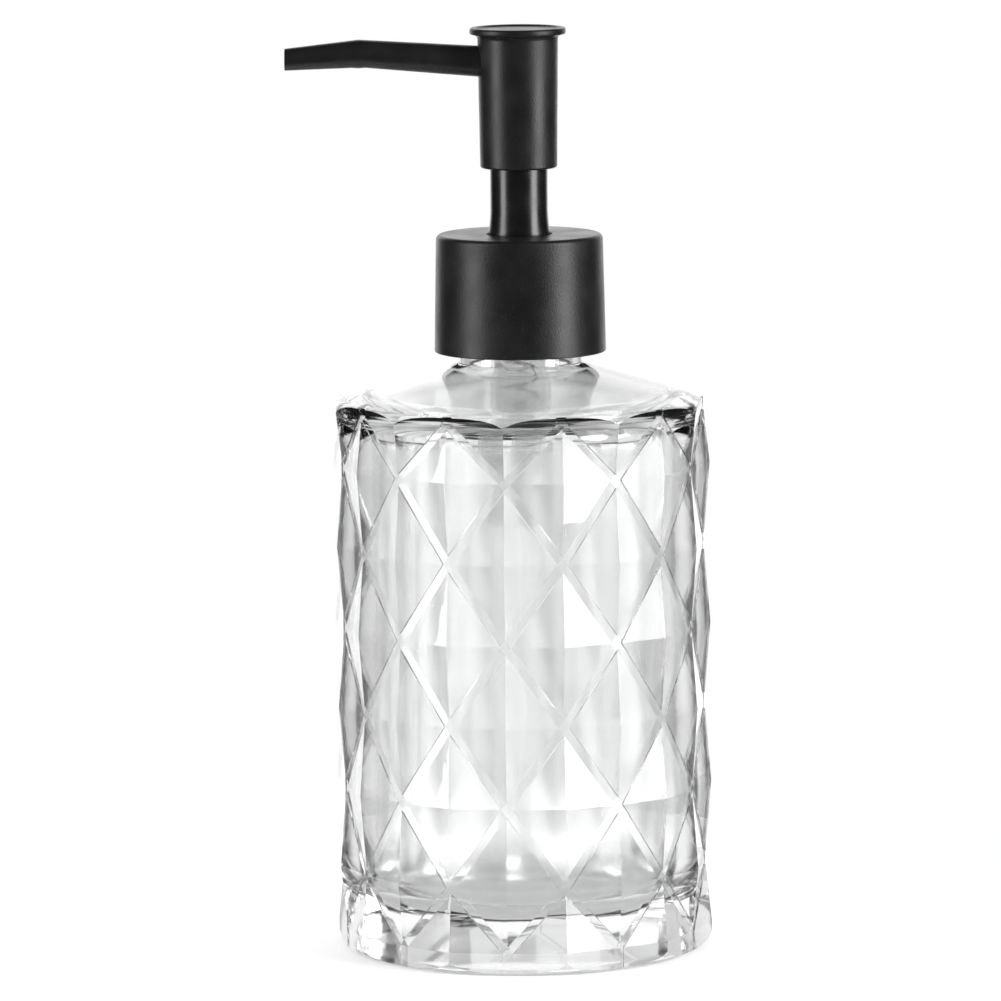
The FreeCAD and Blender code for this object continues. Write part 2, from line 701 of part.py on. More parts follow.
def dip_tube():
    """A straight tube, cut on the slant just above the inside floor."""
    tube_stop = foot_end + size("tube_grip")
    tube_end = size("base_thickness") + size("tube_floor_gap")
    tube_inside = size("tube_radius") - size("tube_wall")
    tube = turned("dip_tube_blank", [
        (tube_inside, tube_end),
        (size("tube_radius"), tube_end),
        (size("tube_radius"), tube_stop),
        (tube_inside, tube_stop),
    ])
    # The top of the knife runs down from the tube's -X side to its +X side
    slant_degrees = 30
    slant = math.radians(slant_degrees)
    width = size("tube_radius") * 8
    depth = size("tube_radius") * 6
    knife = doc.addObject("Part::Box", "tube_knife")
    knife.setExpression("Length", width.text)
    knife.setExpression("Width", width.text)
    knife.setExpression("Height", depth.text)
    turn = FreeCAD.Rotation(FreeCAD.Vector(0, 1, 0), slant_degrees)
    knife.Placement = FreeCAD.Placement(FreeCAD.Vector(0, 0, 0), turn)
    edge_height = tube_end + size("tube_radius") * (2 * math.tan(slant))
    edge_x = -size("tube_radius") - depth * math.sin(slant)
    knife.setExpression("Placement.Base.x", edge_x.text)
    knife.setExpression("Placement.Base.y", (-width / 2).text)
    knife.setExpression("Placement.Base.z", (edge_height - depth * math.cos(slant)).text)
    return combined("Cut", "dip_tube", tube, knife)


def ball_retainer():
    """Holds the inlet ball down, lets the soap past in four slots and seats the spring."""
    hole = size("inlet_ball_radius") * INLET_STOP_SHARE
    boss = spring_radius - size("spring_wire") - size("boss_gap")
    boss_top = retainer_top + size("retainer_boss")
    edge = barrel_bore - size("seat_gap")
    retainer = turned("ball_retainer", [
        (hole, barrel_floor),
        (edge, barrel_floor),
        (edge, retainer_top),
        (boss, retainer_top),
        (boss, boss_top),
        (hole, boss_top),
    ])
    before = retainer.Shape.Volume
    half_slot = size("retainer_slot") / 2
    slot_start = hole - half_slot
    slot_end = boss - half_slot
    sketch = plane_sketch(retainer, "retainer_slot_section", "XY_Plane")
    draw_outline(sketch, [
        (slot_start, -half_slot),
        (slot_end, -half_slot),
        (slot_end, half_slot),
        (slot_start, half_slot),
    ])
    slot = retainer.newObject("PartDesign::Pocket", "retainer_slot")
    slot.Profile = sketch
    slot.Type = "ThroughAll"
    slot.Midplane = True
    doc.recompute()
    slots = retainer.newObject("PartDesign::PolarPattern", "retainer_slots")
    slots.Originals = [slot]
    slots.Axis = (sketch, ["N_Axis"])
    slots.Angle = 360
    slots.Occurrences = 4
    retainer.Tip = slots
    doc.recompute()
    if retainer.Shape.Volume > before - 1:
        raise RuntimeError("the slots of the ball retainer cut nothing")
    return retainer


def return_spring():
    """A coil of round wire between the ball retainer and the piston seat."""
    wire = size("spring_wire")
    run = spring_length - wire * 2 - size("spring_end_gap") * 2
    lowest_middle = retainer_top + wire + size("spring_end_gap")
    path = doc.addObject("Part::Helix", "spring_path")
    path.setExpression("Pitch", (run / size("spring_turns")).text)
    path.setExpression("Height", run.text)
    path.setExpression("Radius", spring_radius.text)
    path.SegmentLength = 1
    path.setExpression("Placement.Base.z", lowest_middle.text)
    section = doc.addObject("Part::Circle", "spring_section")
    section.setExpression("Radius", wire.text)
    upright = FreeCAD.Rotation(FreeCAD.Vector(1, 0, 0), 90)
    section.Placement = FreeCAD.Placement(FreeCAD.Vector(0, 0, 0), upright)
    section.setExpression("Placement.Base.x", spring_radius.text)
    section.setExpression("Placement.Base.z", lowest_middle.text)
    spring = doc.addObject("Part::Sweep", "return_spring")
    spring.Label = "return_spring"
    spring.Sections = [section]
    doc.recompute()
    spring.Spine = (path, ["Edge%d" % (n + 1) for n in range(len(path.Shape.Edges))])
    spring.Solid = True
    spring.Frenet = True
    doc.recompute()
    return spring


# ---------------------------------------------------------------- collar


def screw_closure():
    """The threaded cap that holds the pump on the neck. It turns freely on the housing."""
    base = collar_base + size("closure_rise")
    hole = guide_skirt_radius + size("closure_hole_gap")
    closure = turned("screw_closure", [
        (closure_bore, base),
        (closure_radius, base),
        (closure_radius, closure_top),
        (hole, closure_top),
        (hole, closure_roof_base),
        (closure_bore, closure_roof_base),
    ])
    # The ridge inside lies under the ridge of the neck, a quarter turn further on
    start = thread_start - size("thread_pitch") / 4 + size("closure_ridge_lift")
    root = closure_bore + size("thread_sink")
    crest = size("neck_radius") + size("thread_gap")
    half_base = size("closure_ridge_base") / 2
    half_flat = size("closure_ridge_flat") / 2
    add_thread(closure, [
        (root, start - half_base),
        (root, start + half_base),
        (crest, start + half_flat),
        (crest, start - half_flat),
    ], size("thread_pitch"), size("thread_pitch") * size("closure_turns"), "YZ_Plane")
    return closure


def collar_shell():
    """The pressed metal cover of the closure."""
    wall = size("collar_wall")
    foot_radius = collar_top_radius + size("collar_flare")
    under_top = collar_top - wall
    inside_top = collar_top_radius - wall
    hole = guide_foot_radius + size("collar_hole_gap")
    shell = turned("collar_shell", [
        (foot_radius - wall, collar_base),
        (foot_radius, collar_base),
        (collar_top_radius, collar_top),
        (hole, collar_top),
        (hole, under_top),
        (inside_top, under_top),
    ])
    round_rims(shell, size("collar_rounding"), [(collar_top_radius, collar_top)])
    round_rims(shell, size("collar_rounding") - wall, [(inside_top, under_top)])
    return shell


# ---------------------------------------------------------------- plunger


def piston():
    """A ring with a lip above and below that slides in the barrel."""
    inner = size("stem_radius") + size("seat_gap")
    lip = barrel_bore - size("running_gap")
    web = lip - inner
    waist = inner + web * 0.6
    edge = inner + web * 0.66
    tip = size("piston_tip")
    flat = size("piston_lip")
    hollow = size("piston_hollow")
    return turned("piston", [
        (inner, piston_base),
        (edge, piston_base),
        (lip, piston_base + tip),
        (lip, piston_base + flat),
        (waist, piston_base + hollow),
        (waist, piston_top - hollow),
        (lip, piston_top - flat),
        (lip, piston_top - tip),
        (edge, piston_top),
        (inner, piston_top),
    ])


def piston_seat():
    """Snaps into the stem, carries the piston and stands on the spring."""
    disc = barrel_bore - size("seat_inset")
    disc_top = piston_base - size("seat_gap")
    spigot = size("stem_bore") + size("spigot_step") - size("seat_gap")
    spigot_top = piston_base + size("spigot_length")
    return turned("piston_seat", [
        (size("seat_bore"), seat_base),
        (disc, seat_base),
        (disc, disc_top),
        (spigot, disc_top),
        (spigot, spigot_top),
        (size("seat_bore"), spigot_top),
    ])


def stem():
    """The hollow rod from the piston to the head, with the outlet valve's seat at its top."""
    foot = piston_base + size("seat_gap")
    socket = size("stem_bore") + size("spigot_step")
    socket_top = piston_base + size("spigot_length") + size("running_gap")
    throat_end = outlet_seat_base - size("throat_length")
    bore_step = size("stem_bore") - outlet_throat
    return turned("stem", [
        (socket, foot),
        (size("stem_radius"), foot),
        (size("stem_radius"), stem_top),
        (outlet_chamber, stem_top),
        (outlet_chamber, outlet_seat_top),
        (outlet_throat, outlet_seat_base),
        (outlet_throat, throat_end),
        (size("stem_bore"), throat_end - bore_step),
        (size("stem_bore"), socket_top),
        (socket, socket_top),
    ])


# ---------------------------------------------------------------- head


def spout_direction():
    """The direction of the spout between the head and its bend."""
    return (-size("spout_bend").value, 0, size("spout_rise").value)


def spout_rod(name, radius, length, start=0.0):
    """A rod along the first run of the spout, from the given distance off the axis."""
    start = as_size(start)
    base = (-start, 0, spout_height + spout_slope * start)
    return cylinder(name, radius, length, base=base, axis=spout_direction())


def head_sleeve():
    """The tapered metal sleeve of the head, with the hole that the spout comes out of."""
    wall = size("head_wall")
    blank = turned("sleeve_blank", [
        (head_foot_radius - wall, head_base),
        (head_foot_radius, head_base),
        (head_top_radius, sleeve_top),
        (head_top_radius - wall, sleeve_top),
    ])
    round_rims(blank, size("head_rounding"), [(head_foot_radius, head_base)])
    hole_radius = size("spout_root_radius") + size("seat_gap")
    hole = spout_rod("sleeve_drill", hole_radius, head_top_radius + OVERCUT)
    return combined("Cut", "head_sleeve", blank, hole)


def head_core():
    """The moulded core of the head: socket for the stem, channel and spout bore."""
    outer = head_foot_radius - size("head_wall") - size("seat_gap")
    skirt_bore = guide_radius + size("core_skirt_gap")
    skirt_end = core_floor - size("core_skirt")
    socket = size("stem_radius") + size("seat_gap")
    channel = size("outlet_ball_radius") * OUTLET_STOP_SHARE
    blank = turned("core_blank", [
        (0, core_top),
        (outer, core_top),
        (outer, skirt_end),
        (skirt_bore, skirt_end),
        (skirt_bore, core_floor),
        (socket, core_floor),
        (socket, outlet_stop),
        (channel, outlet_stop),
        (channel, spout_height),
        (0, spout_height),
    ])
    liner_radius = size("spout_root_radius") - size("spout_wall")
    channel_radius = liner_radius - size("seat_gap") - size("liner_wall")
    drills = [
        spout_rod("core_tube_drill", size("spout_root_radius") + size("seat_gap"),
                  outer + OVERCUT, size("spout_socket")),
        spout_rod("core_liner_drill", liner_radius, outer, size("liner_socket")),
        spout_rod("core_channel_drill", channel_radius, outer),
    ]
    drilled = blank
    for drill in drills[:-1]:
        drilled = combined("Cut", drill.Name + "ed", drilled, drill)
    return combined("Cut", "head_core", drilled, drills[-1])


def head_cap():
    """The press cap: a dished disc with a rolled rim."""
    plug = head_top_radius - size("head_wall") - size("seat_gap")
    plug_end = core_top + size("seat_gap")
    dish = cap_radius - size("cap_rim")
    dish_floor = cap_top - size("cap_dish")
    cap = turned("head_cap", [
        (0, plug_end),
        (plug, plug_end),
        (plug, sleeve_top),
        (head_top_radius, sleeve_top),
        (cap_radius - size("cap_cove"), sleeve_top + size("cap_height") * 0.3),
        (cap_radius, sleeve_top + size("cap_height") * 0.45),
        (cap_radius, cap_top),
        (dish, cap_top),
        (dish - size("cap_dish_slope"), dish_floor),
        (0, dish_floor),
    ])
    round_rims(cap, size("cap_rim") * 0.55, [(cap_radius, cap_top)])
    round_rims(cap, size("cap_lip_rounding"), [(dish, cap_top)])
    return cap


def spout_section(name, radius, across, height, direction):
    """A circle square to the direction, as one section of the spout."""
    ring = doc.addObject("Part::Circle", name)
    ring.setExpression("Radius", as_size(radius).text)
    turn = FreeCAD.Rotation(FreeCAD.Vector(0, 0, 1), FreeCAD.Vector(*direction))
    ring.Placement = FreeCAD.Placement(FreeCAD.Vector(0, 0, 0), turn)
    ring.setExpression("Placement.Base.x", (-as_size(across)).text)
    ring.setExpression("Placement.Base.z", as_size(height).text)
    return ring


def spout_loft(name, wall):
    """The spout's outer or inner form: a root, a bend and a tip."""
    root = size("spout_socket") + size("spout_socket_gap")
    bend_height = spout_height + size("spout_rise")
    level = (-1, 0, 0)
    sections = [
        spout_section(name + "_root", size("spout_root_radius") - wall, root,
                      spout_height + spout_slope * root, spout_direction()),
        spout_section(name + "_bend", size("spout_bend_radius") - wall, size("spout_bend"),
                      bend_height, level),
        spout_section(name + "_tip", size("spout_tip_radius") - wall, size("spout_reach"),
                      bend_height - size("spout_fall"), level),
    ]
    loft = doc.addObject("Part::Loft", name)
    loft.Sections = sections
    loft.Solid = True
    loft.Ruled = True
    doc.recompute()
    return loft


def spout_tube():
    """The metal spout: a tube that narrows from its bend to its tip."""
    outer = spout_loft("spout_outside", as_size(0.0))
    inner = spout_loft("spout_inside", size("spout_wall"))
    return combined("Cut", "spout_tube", outer, inner)


def spout_liner():
    """The plastic tube inside the straight run of the spout."""
    radius = size("spout_bend_radius") - size("spout_wall") - size("seat_gap") * 2
    start = size("liner_socket") + size("running_gap")
    length = size("spout_bend") - start - size("liner_end_gap")
    rod = spout_rod("liner_rod", radius, length, start)
    bore = spout_rod("liner_bore", radius - size("liner_wall"), length, start)
    return combined("Cut", "spout_liner", rod, bore)


# ---------------------------------------------------------------- build and write

pieces = [
    glass_bottle(),
    pump_housing(),
    guide_neck(),
    stem_wiper(),
    neck_gasket(),
    dip_tube(),
    ball_retainer(),
    return_spring(),
    screw_closure(),
    collar_shell(),
    piston(),
    piston_seat(),
    stem(),
    head_core(),
    head_sleeve(),
    head_cap(),
    spout_tube(),
    spout_liner(),
    ball("inlet_ball", size("inlet_ball_radius"), inlet_ball_height),
    ball("outlet_ball", size("outlet_ball_radius"), outlet_ball_height),
]
doc.recompute()

for item in doc.Objects:
    if "Invalid" in item.State or "Error" in item.State:
        raise RuntimeError("%s did not compute: %s" % (item.Label, item.State))
for piece in pieces:
    shape = piece.Shape
    if shape.isNull() or not shape.isValid():
        raise RuntimeError("%s has no valid shape" % piece.Label)
    print("%-16s %2d solid %10.1f mm3" % (piece.Label, len(shape.Solids), shape.Volume))
for piece in pieces:
    piece.Shape.exportStep("parts/%s.step" % piece.Label)
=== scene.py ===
# %% [markdown]
# # A soap pump dispenser in pressed glass and black metal
# The working model holds the sizes, the joints and the hidden parts. This lesson gives
# the dispenser its looks: clear glass with diamonds pressed into it, satin black metal,
# a glossy black guide neck, and the pale plastic pump that shows through the glass.
# Lengths are in metres, Z is the axis of the bottle, and the spout points towards -X.

# %% Load the working model
from math import atan2, cos, hypot, pi, radians, sin

import bmesh
import bpy
from mathutils import Matrix, Vector


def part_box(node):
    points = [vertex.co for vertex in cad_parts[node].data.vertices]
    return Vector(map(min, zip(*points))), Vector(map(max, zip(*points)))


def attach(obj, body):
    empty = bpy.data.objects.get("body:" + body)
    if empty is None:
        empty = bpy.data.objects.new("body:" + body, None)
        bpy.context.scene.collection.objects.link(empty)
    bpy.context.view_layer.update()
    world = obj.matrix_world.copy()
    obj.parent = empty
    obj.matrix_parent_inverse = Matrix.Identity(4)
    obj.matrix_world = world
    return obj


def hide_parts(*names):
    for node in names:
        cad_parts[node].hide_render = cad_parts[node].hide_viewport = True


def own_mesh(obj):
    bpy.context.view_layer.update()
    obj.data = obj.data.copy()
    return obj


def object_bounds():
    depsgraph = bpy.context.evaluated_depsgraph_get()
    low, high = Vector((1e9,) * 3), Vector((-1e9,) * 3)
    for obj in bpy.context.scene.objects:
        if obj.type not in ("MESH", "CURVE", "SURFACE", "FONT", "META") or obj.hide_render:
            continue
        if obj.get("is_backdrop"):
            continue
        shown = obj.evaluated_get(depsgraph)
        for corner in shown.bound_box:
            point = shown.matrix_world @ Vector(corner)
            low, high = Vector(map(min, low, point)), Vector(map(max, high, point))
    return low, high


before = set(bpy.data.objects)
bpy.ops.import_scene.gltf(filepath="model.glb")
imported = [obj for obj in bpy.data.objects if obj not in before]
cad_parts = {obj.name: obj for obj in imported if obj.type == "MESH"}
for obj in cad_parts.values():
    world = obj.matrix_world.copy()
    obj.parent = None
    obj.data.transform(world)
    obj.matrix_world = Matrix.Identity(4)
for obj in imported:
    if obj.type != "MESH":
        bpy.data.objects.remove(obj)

cad_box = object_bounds()
MM = 0.001
CENTRE = (0, 0, 0)
UP = (0, 0, 1)
scene = bpy.context.scene
print("the working model reaches from", cad_box[0], "to", cad_box[1])


# %% [markdown]
# ## Measuring the working model
# New pieces take their sizes from the pieces that they stand for, so that nothing has
# to be fitted afterwards. Numbers could be copied from the drawing, but a turned piece is
# known by two heights and a radius, and those are quickly measured on its points.

# %% Heights and radii of a node
def bottom(node):
    """Height of a node's lowest point."""
    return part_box(node)[0].z


def top(node):
    """Height of a node's highest point."""
    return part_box(node)[1].z


def reach(node):
    """Largest radius of a node about the axis of the bottle."""
    return max(hypot(v.co.x, v.co.y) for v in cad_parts[node].data.vertices)


body_radius = reach("glass_bottle")
neck_top = top("glass_bottle")
print("glass: radius %.2f mm, height %.2f mm" % (body_radius / MM, neck_top / MM))


# %% [markdown]
# ## Modelling helpers
# Operators act on whatever is selected, and loading leaves every node selected. So each
# step begins with nothing selected, and edges or faces are picked in code by where they
# are, as a person would click them. Sizes are applied at the start, so every object
# sits unturned at the origin, as the nodes of the working model do.

# %% Start a piece and pick parts of it
MERGE_WITHIN = 0.002 * MM
WELD_WITHIN = 0.01 * MM


def begin(name, add, **settings):
    """Adds a primitive with nothing else selected and goes into edit mode."""
    if bpy.context.object and bpy.context.object.mode != "OBJECT":
        bpy.ops.object.mode_set(mode="OBJECT")
    bpy.ops.object.select_all(action="DESELECT")
    add(**settings)
    piece = bpy.context.object
    piece.name = piece.data.name = name
    bpy.ops.object.transform_apply(location=True, rotation=True, scale=True)
    bpy.ops.object.mode_set(mode="EDIT")
    bpy.ops.mesh.select_mode(type="VERT")
    bpy.ops.mesh.select_all(action="SELECT")
    return piece


def pick(piece, kind, wanted):
    """Selects the vertices, edges or faces that the test wants, and counts them."""
    modes = {"verts": "VERT", "edges": "EDGE", "faces": "FACE"}
    bpy.ops.mesh.select_mode(type=modes[kind])
    bpy.ops.mesh.select_all(action="DESELECT")
    mesh = bmesh.from_edit_mesh(piece.data)
    mesh.normal_update()
    chosen = [part for part in getattr(mesh, kind) if wanted(part)]
    for part in chosen:
        part.select_set(True)
    mesh.select_flush_mode()
    bmesh.update_edit_mesh(piece.data)
    return len(chosen)


def close_end(piece, height, within):
    """Fills the open edges that lie near a height with one face."""
    pick(piece, "edges", lambda edge: edge.is_boundary
         and all(abs(v.co.z - height) <= within for v in edge.verts))
    bpy.ops.mesh.edge_face_add()


def tidy_mesh():
    """Merges doubles and points every face outwards."""
    bpy.ops.mesh.select_all(action="SELECT")
    bpy.ops.mesh.remove_doubles(threshold=MERGE_WITHIN)
    bpy.ops.mesh.normals_make_consistent(inside=False)


print("points closer than", MERGE_WITHIN / MM, "mm are merged")


# %% [markdown]
# A modifier changes a whole piece at once: it cuts, thickens, coils or displaces. It is
# applied at once, so what follows works on the real mesh. Smooth shading comes last,
# and weighting the normals by area keeps flat facets flat beside their rounded edges.

# %% Apply modifiers and finish a piece
def work_on(piece):
    """Leaves edit mode and makes the piece the only one selected."""
    if piece.mode != "OBJECT":
        bpy.ops.object.mode_set(mode="OBJECT")
    bpy.ops.object.select_all(action="DESELECT")
    piece.select_set(True)
    bpy.context.view_layer.objects.active = piece


def apply_modifier(piece, kind, **settings):
    """Adds a modifier with its settings and applies it."""
    work_on(piece)
    bpy.ops.object.modifier_add(type=kind)
    modifier = piece.modifiers[-1]
    for setting, value in settings.items():
        setattr(modifier, setting, value)
    bpy.ops.object.modifier_apply(modifier=modifier.name)


def combine(piece, tool, operation):
    """Cuts, joins or intersects a piece with a tool, which is used up."""
    if bpy.context.object.mode != "OBJECT":
        bpy.ops.object.mode_set(mode="OBJECT")
    apply_modifier(piece, "BOOLEAN", operation=operation, solver="EXACT", object=tool)
    bpy.data.objects.remove(tool)


def finish(piece, body, material, smooth_under=30):
    """Smooths a piece and gives it a body and a material."""
    work_on(piece)
    bpy.ops.object.shade_smooth_by_angle(angle=radians(smooth_under))
    apply_modifier(piece, "WEIGHTED_NORMAL", keep_sharp=True, weight=100)
    piece.data.materials.clear()
    piece.data.materials.append(material)
    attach(piece, body)
    piece.data.calc_loop_triangles()
    print("%s: %d triangles" % (piece.name, len(piece.data.loop_triangles)))


print("helpers ready")


# %% [markdown]
# Most pieces of a pump are turned: one outline goes once round the axis. The outline is
# drawn corner by corner by extruding a single point, then spun. Rounding comes last, by
# bevelling the rings that pass through chosen corners, as a fillet is put on a lathe
# drawing. An outline that starts and ends on the axis closes by itself.

# %% Turn an outline and round its rings
ROUND_STEPS = 144
ON_RING = 0.01 * MM


def lathe(name, outline, steps=ROUND_STEPS):
    """A piece turned about Z from (radius, height) corners."""
    corners = [Vector((radius, 0, height)) for radius, height in outline]
    piece = begin(name, bpy.ops.mesh.primitive_plane_add, size=MM, location=corners[0])
    bpy.ops.mesh.merge(type="CENTER")
    closed = outline[0][0] > 0
    route = corners[1:] + corners[:1] if closed else corners[1:]
    here = corners[0]
    for corner in route:
        bpy.ops.mesh.extrude_region_move(TRANSFORM_OT_translate={"value": corner - here})
        here = corner
    bpy.ops.mesh.select_all(action="SELECT")
    bpy.ops.mesh.spin(steps=steps, angle=2 * pi, center=CENTRE, axis=UP)
    tidy_mesh()
    return piece


def at_ring(point, ring):
    """True if a vertex lies on the ring through a (radius, height) corner."""
    return (abs(hypot(point.co.x, point.co.y) - ring[0]) < ON_RING
            and abs(point.co.z - ring[1]) < ON_RING)


def round_ring(piece, ring, rounding, steps=4):
    """Rounds the ring that passes through a (radius, height) corner."""
    found = pick(piece, "edges", lambda edge: all(at_ring(v, ring) for v in edge.verts))
    if found == 0:
        raise ValueError("%s has no ring at %s" % (piece.name, ring))
    bpy.ops.mesh.bevel(offset=rounding, segments=steps, profile=0.5, affect="EDGES")


print("turned pieces get", ROUND_STEPS, "steps")


# %% [markdown]
# ## The camera
# The dispenser is seen from in front and a little above, through a long lens, which
# keeps its sides nearly upright. A short lens close by would spread the bottle's foot.
# The axis stands a little right of the middle and leans to the left by half a degree.

# %% Camera
CAMERA_PLACE = Vector((0, -1.4, 0.281))
CAMERA_AIM = Vector((-0.0042, 0, 0.08895))
CAMERA_LEAN = radians(-0.52)
camera_data = bpy.data.cameras.new("camera")
camera_data.lens = 255.7
camera_data.sensor_width = 36
camera_data.clip_start = 0.05
camera = bpy.data.objects.new("camera", camera_data)
scene.collection.objects.link(camera)
aim = (CAMERA_AIM - CAMERA_PLACE).to_track_quat("-Z", "Y").to_matrix().to_4x4()
lean = Matrix.Rotation(CAMERA_LEAN, 4, "Z")
camera.matrix_world = Matrix.Translation(CAMERA_PLACE) @ aim @ lean
scene.camera = camera
print("camera looks from", tuple(round(c, 3) for c in camera.location))


# %% [markdown]
# ## Node helpers
# Nodes can be added and wired one by one in the editor. In a script that takes three
# lines a node, so these helpers add a node, fill its inputs and hand back its output.

# %% Place and reckon with nodes
def place(tree, kind, inputs=(), **settings):
    """Adds a shader node, sets its properties and its inputs: a value or a socket."""
    node = tree.nodes.new("ShaderNode" + kind)
    for setting, value in settings.items():
        setattr(node, setting, value)
    for key, value in dict(inputs).items():
        if isinstance(value, bpy.types.NodeSocket):
            tree.links.new(value, node.inputs[key])
        else:
            node.inputs[key].default_value = value
    return node


def calc(tree, operation, first, second=0.0):
    """One step of arithmetic on sockets or numbers."""
    return place(tree, "Math", {0: first, 1: second}, operation=operation).outputs[0]


def between(tree, value, low, high, start=0.0, end=1.0):
    """Maps a value from one range to another along a smooth step."""
    node = place(tree, "MapRange", {0: value, 1: low, 2: high, 3: start, 4: end},
                 interpolation_type="SMOOTHSTEP")
    return node.outputs[0]


print("node helpers ready")


# %% [markdown]
# ## The studio
# Clear glass shows what is behind it and black metal shows what is in front of it, so
# the room matters as much as the materials. It could be built from real sheets and
# lamps, but a sky shader is quicker and has no edges. The world's own direction gives
# the turn about the bottle and the rise above the floor, and everything is drawn on
# those two. The backdrop is white.

# %% An empty world and its directions
world = bpy.data.worlds.new("studio")
scene.world = world
world.use_nodes = True
room = world.node_tree
room.nodes.clear()
outward = place(room, "TexCoord").outputs["Generated"]
axes = place(room, "SeparateXYZ", {0: outward})
turn = calc(room, "ARCTAN2", axes.outputs["Y"], axes.outputs["X"])
rise = axes.outputs["Z"]
print("world", world.name)

# %% [markdown]
# The room that is seen through the glass swells from light to grey in slow waves, so
# that neighbouring facets, which bend light different ways, differ in tone. Narrow dark
# gaps between its panels are picked up only where the glass bends light sharply, and
# that draws thin dark lines at its edges from any side. Overhead it is dimmer.

# %% Room seen through the glass
PANELS_ROUND = 8
MEAN_TONE = 0.80


def swell(value, times, shift, depth):
    """A smooth wave of brightness along a direction."""
    phase = calc(room, "ADD", calc(room, "MULTIPLY", value, times), shift)
    return calc(room, "MULTIPLY", calc(room, "COSINE", phase), depth)


sideways = calc(room, "ADD", swell(turn, 6, pi / 2, 0.17), swell(turn, 12, 0.0, 0.03))
upwards = calc(room, "ADD", swell(rise, 14.0, 3.47, 0.11), MEAN_TONE)
tone = calc(room, "ADD", sideways, upwards)
panels = calc(room, "COSINE", calc(room, "MULTIPLY", turn, PANELS_ROUND))
gaps = between(room, panels, -1.0, -0.9, 0.45, 1.0)
ceiling = between(room, rise, 0.35, 0.85, 1.0, 0.55)
through_glass = calc(room, "MULTIPLY", tone, calc(room, "MULTIPLY", gaps, ceiling))
print("room of", PANELS_ROUND, "panels")

# %% [markdown]
# Polished and satin black pieces see another room: dark in front, and bright only far
# behind them, which draws a fine light edge on their outlines as a lit backdrop does.
# The kind of ray chooses the room. Everything else is lit by an even grey.

# %% Rooms for the other rays
EVEN_GREY = 0.75
BACKDROP = 1.0
behind = between(room, axes.outputs["Y"], 0.7, 0.93, 0.02, 1.7)
rays = place(room, "LightPath")
strength = EVEN_GREY
for kind, level in (("Is Glossy Ray", behind), ("Is Transmission Ray", through_glass),
                    ("Is Camera Ray", BACKDROP)):
    strength = place(room, "Mix", {"Factor": rays.outputs[kind], "A": strength,
                                   "B": level}).outputs[0]
glow = place(room, "Background", {"Color": (1, 1, 1, 1), "Strength": strength})
place(room, "OutputWorld", {"Surface": glow.outputs[0]})
print("world of", len(room.nodes), "nodes")


# %% [markdown]
# Two tall soft lights stand to the left and right in front. A round black piece shows
# each of them as an upright stripe halfway between the lamp's direction and the
# camera's, so lamps near 65 degrees put the stripes midway between axis and edge.

# %% Lamps
LAMP_DISTANCE = 0.9
LAMP_HEIGHT = 0.30
LAMP_LENGTH = 1.0
LAMP_TARGET = Vector((0, 0, 0.13))


def soft_light(name, angle, width, watts):
    """A tall light that faces the pump, at an angle from the camera's side."""
    data = bpy.data.lights.new(name, "AREA")
    data.shape = "RECTANGLE"
    data.size = width
    data.size_y = LAMP_LENGTH
    data.energy = watts
    lamp = bpy.data.objects.new(name, data)
    scene.collection.objects.link(lamp)
    lamp.location = (LAMP_DISTANCE * sin(angle), -LAMP_DISTANCE * cos(angle), LAMP_HEIGHT)
    facing = (LAMP_TARGET - lamp.location).to_track_quat("-Z", "Y")
    lamp.rotation_euler = facing.to_euler()


soft_light("left_softbox", radians(-66), 0.34, 7.0)
soft_light("right_softbox", radians(63), 0.40, 11.0)
scene.view_settings.view_transform = "Standard"


# %% [markdown]
# ## The floor
# A lit white sheet, as on a shop's display table: it is round, its glow hides its own
# edge against the backdrop, and only a faint shadow is left under the heel of the glass.
# A wide floor would be simpler, but its far edge would show through the glass.

# %% Floor
FLOOR_RADIUS = 0.13
FLOOR_DROP = 0.05 * MM
floor = begin("floor", bpy.ops.mesh.primitive_circle_add, vertices=96,
              radius=FLOOR_RADIUS, fill_type="NGON", location=(0, 0, -FLOOR_DROP))
bpy.ops.object.mode_set(mode="OBJECT")
lit_sheet = bpy.data.materials.new("lit_sheet")
lit_sheet.use_nodes = True
sheet_shader = lit_sheet.node_tree.nodes["Principled BSDF"]
for label, value in (("Base Color", (0.9, 0.9, 0.9, 1)), ("Roughness", 0.6),
                     ("Emission Color", (1, 1, 1, 1)), ("Emission Strength", 0.2)):
    sheet_shader.inputs[label].default_value = value
floor.data.materials.append(lit_sheet)
floor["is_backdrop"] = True
print("floor radius", FLOOR_RADIUS)


# %% [markdown]
# ## Shared effects
# Three effects return in several materials. They could be drawn again in each, but as
# node groups with their own inputs they are built once, and each material gives its own
# values. All of them work on Object coordinates, so they stay put on a moving piece.

# %% Build and use a node group
def new_group(name, inputs, outputs):
    """An empty shader group with float inputs and the given outputs."""
    tree = bpy.data.node_groups.new(name, "ShaderNodeTree")
    number = "NodeSocketFloat"
    for label, value in inputs.items():
        socket = tree.interface.new_socket(label, in_out="INPUT", socket_type=number)
        socket.default_value = value
    for label in outputs:
        tree.interface.new_socket(label, in_out="OUTPUT", socket_type=number)
    entry = tree.nodes.new("NodeGroupInput")
    leave = tree.nodes.new("NodeGroupOutput")
    spot = place(tree, "TexCoord").outputs["Object"]
    return tree, entry.outputs, leave.inputs, spot


def use_group(tree, group, **values):
    """Places a group in a material with its own values."""
    node = place(tree, "Group", node_tree=group)
    for label, value in values.items():
        node.inputs[label].default_value = value
    return node.outputs


print("ready to build groups")

# %% [markdown]
# Grain is the fine texture of paint or moulded plastic. Soft noise gives its waviness
# and rounded cells give its pits, and the contrast mixes the two.

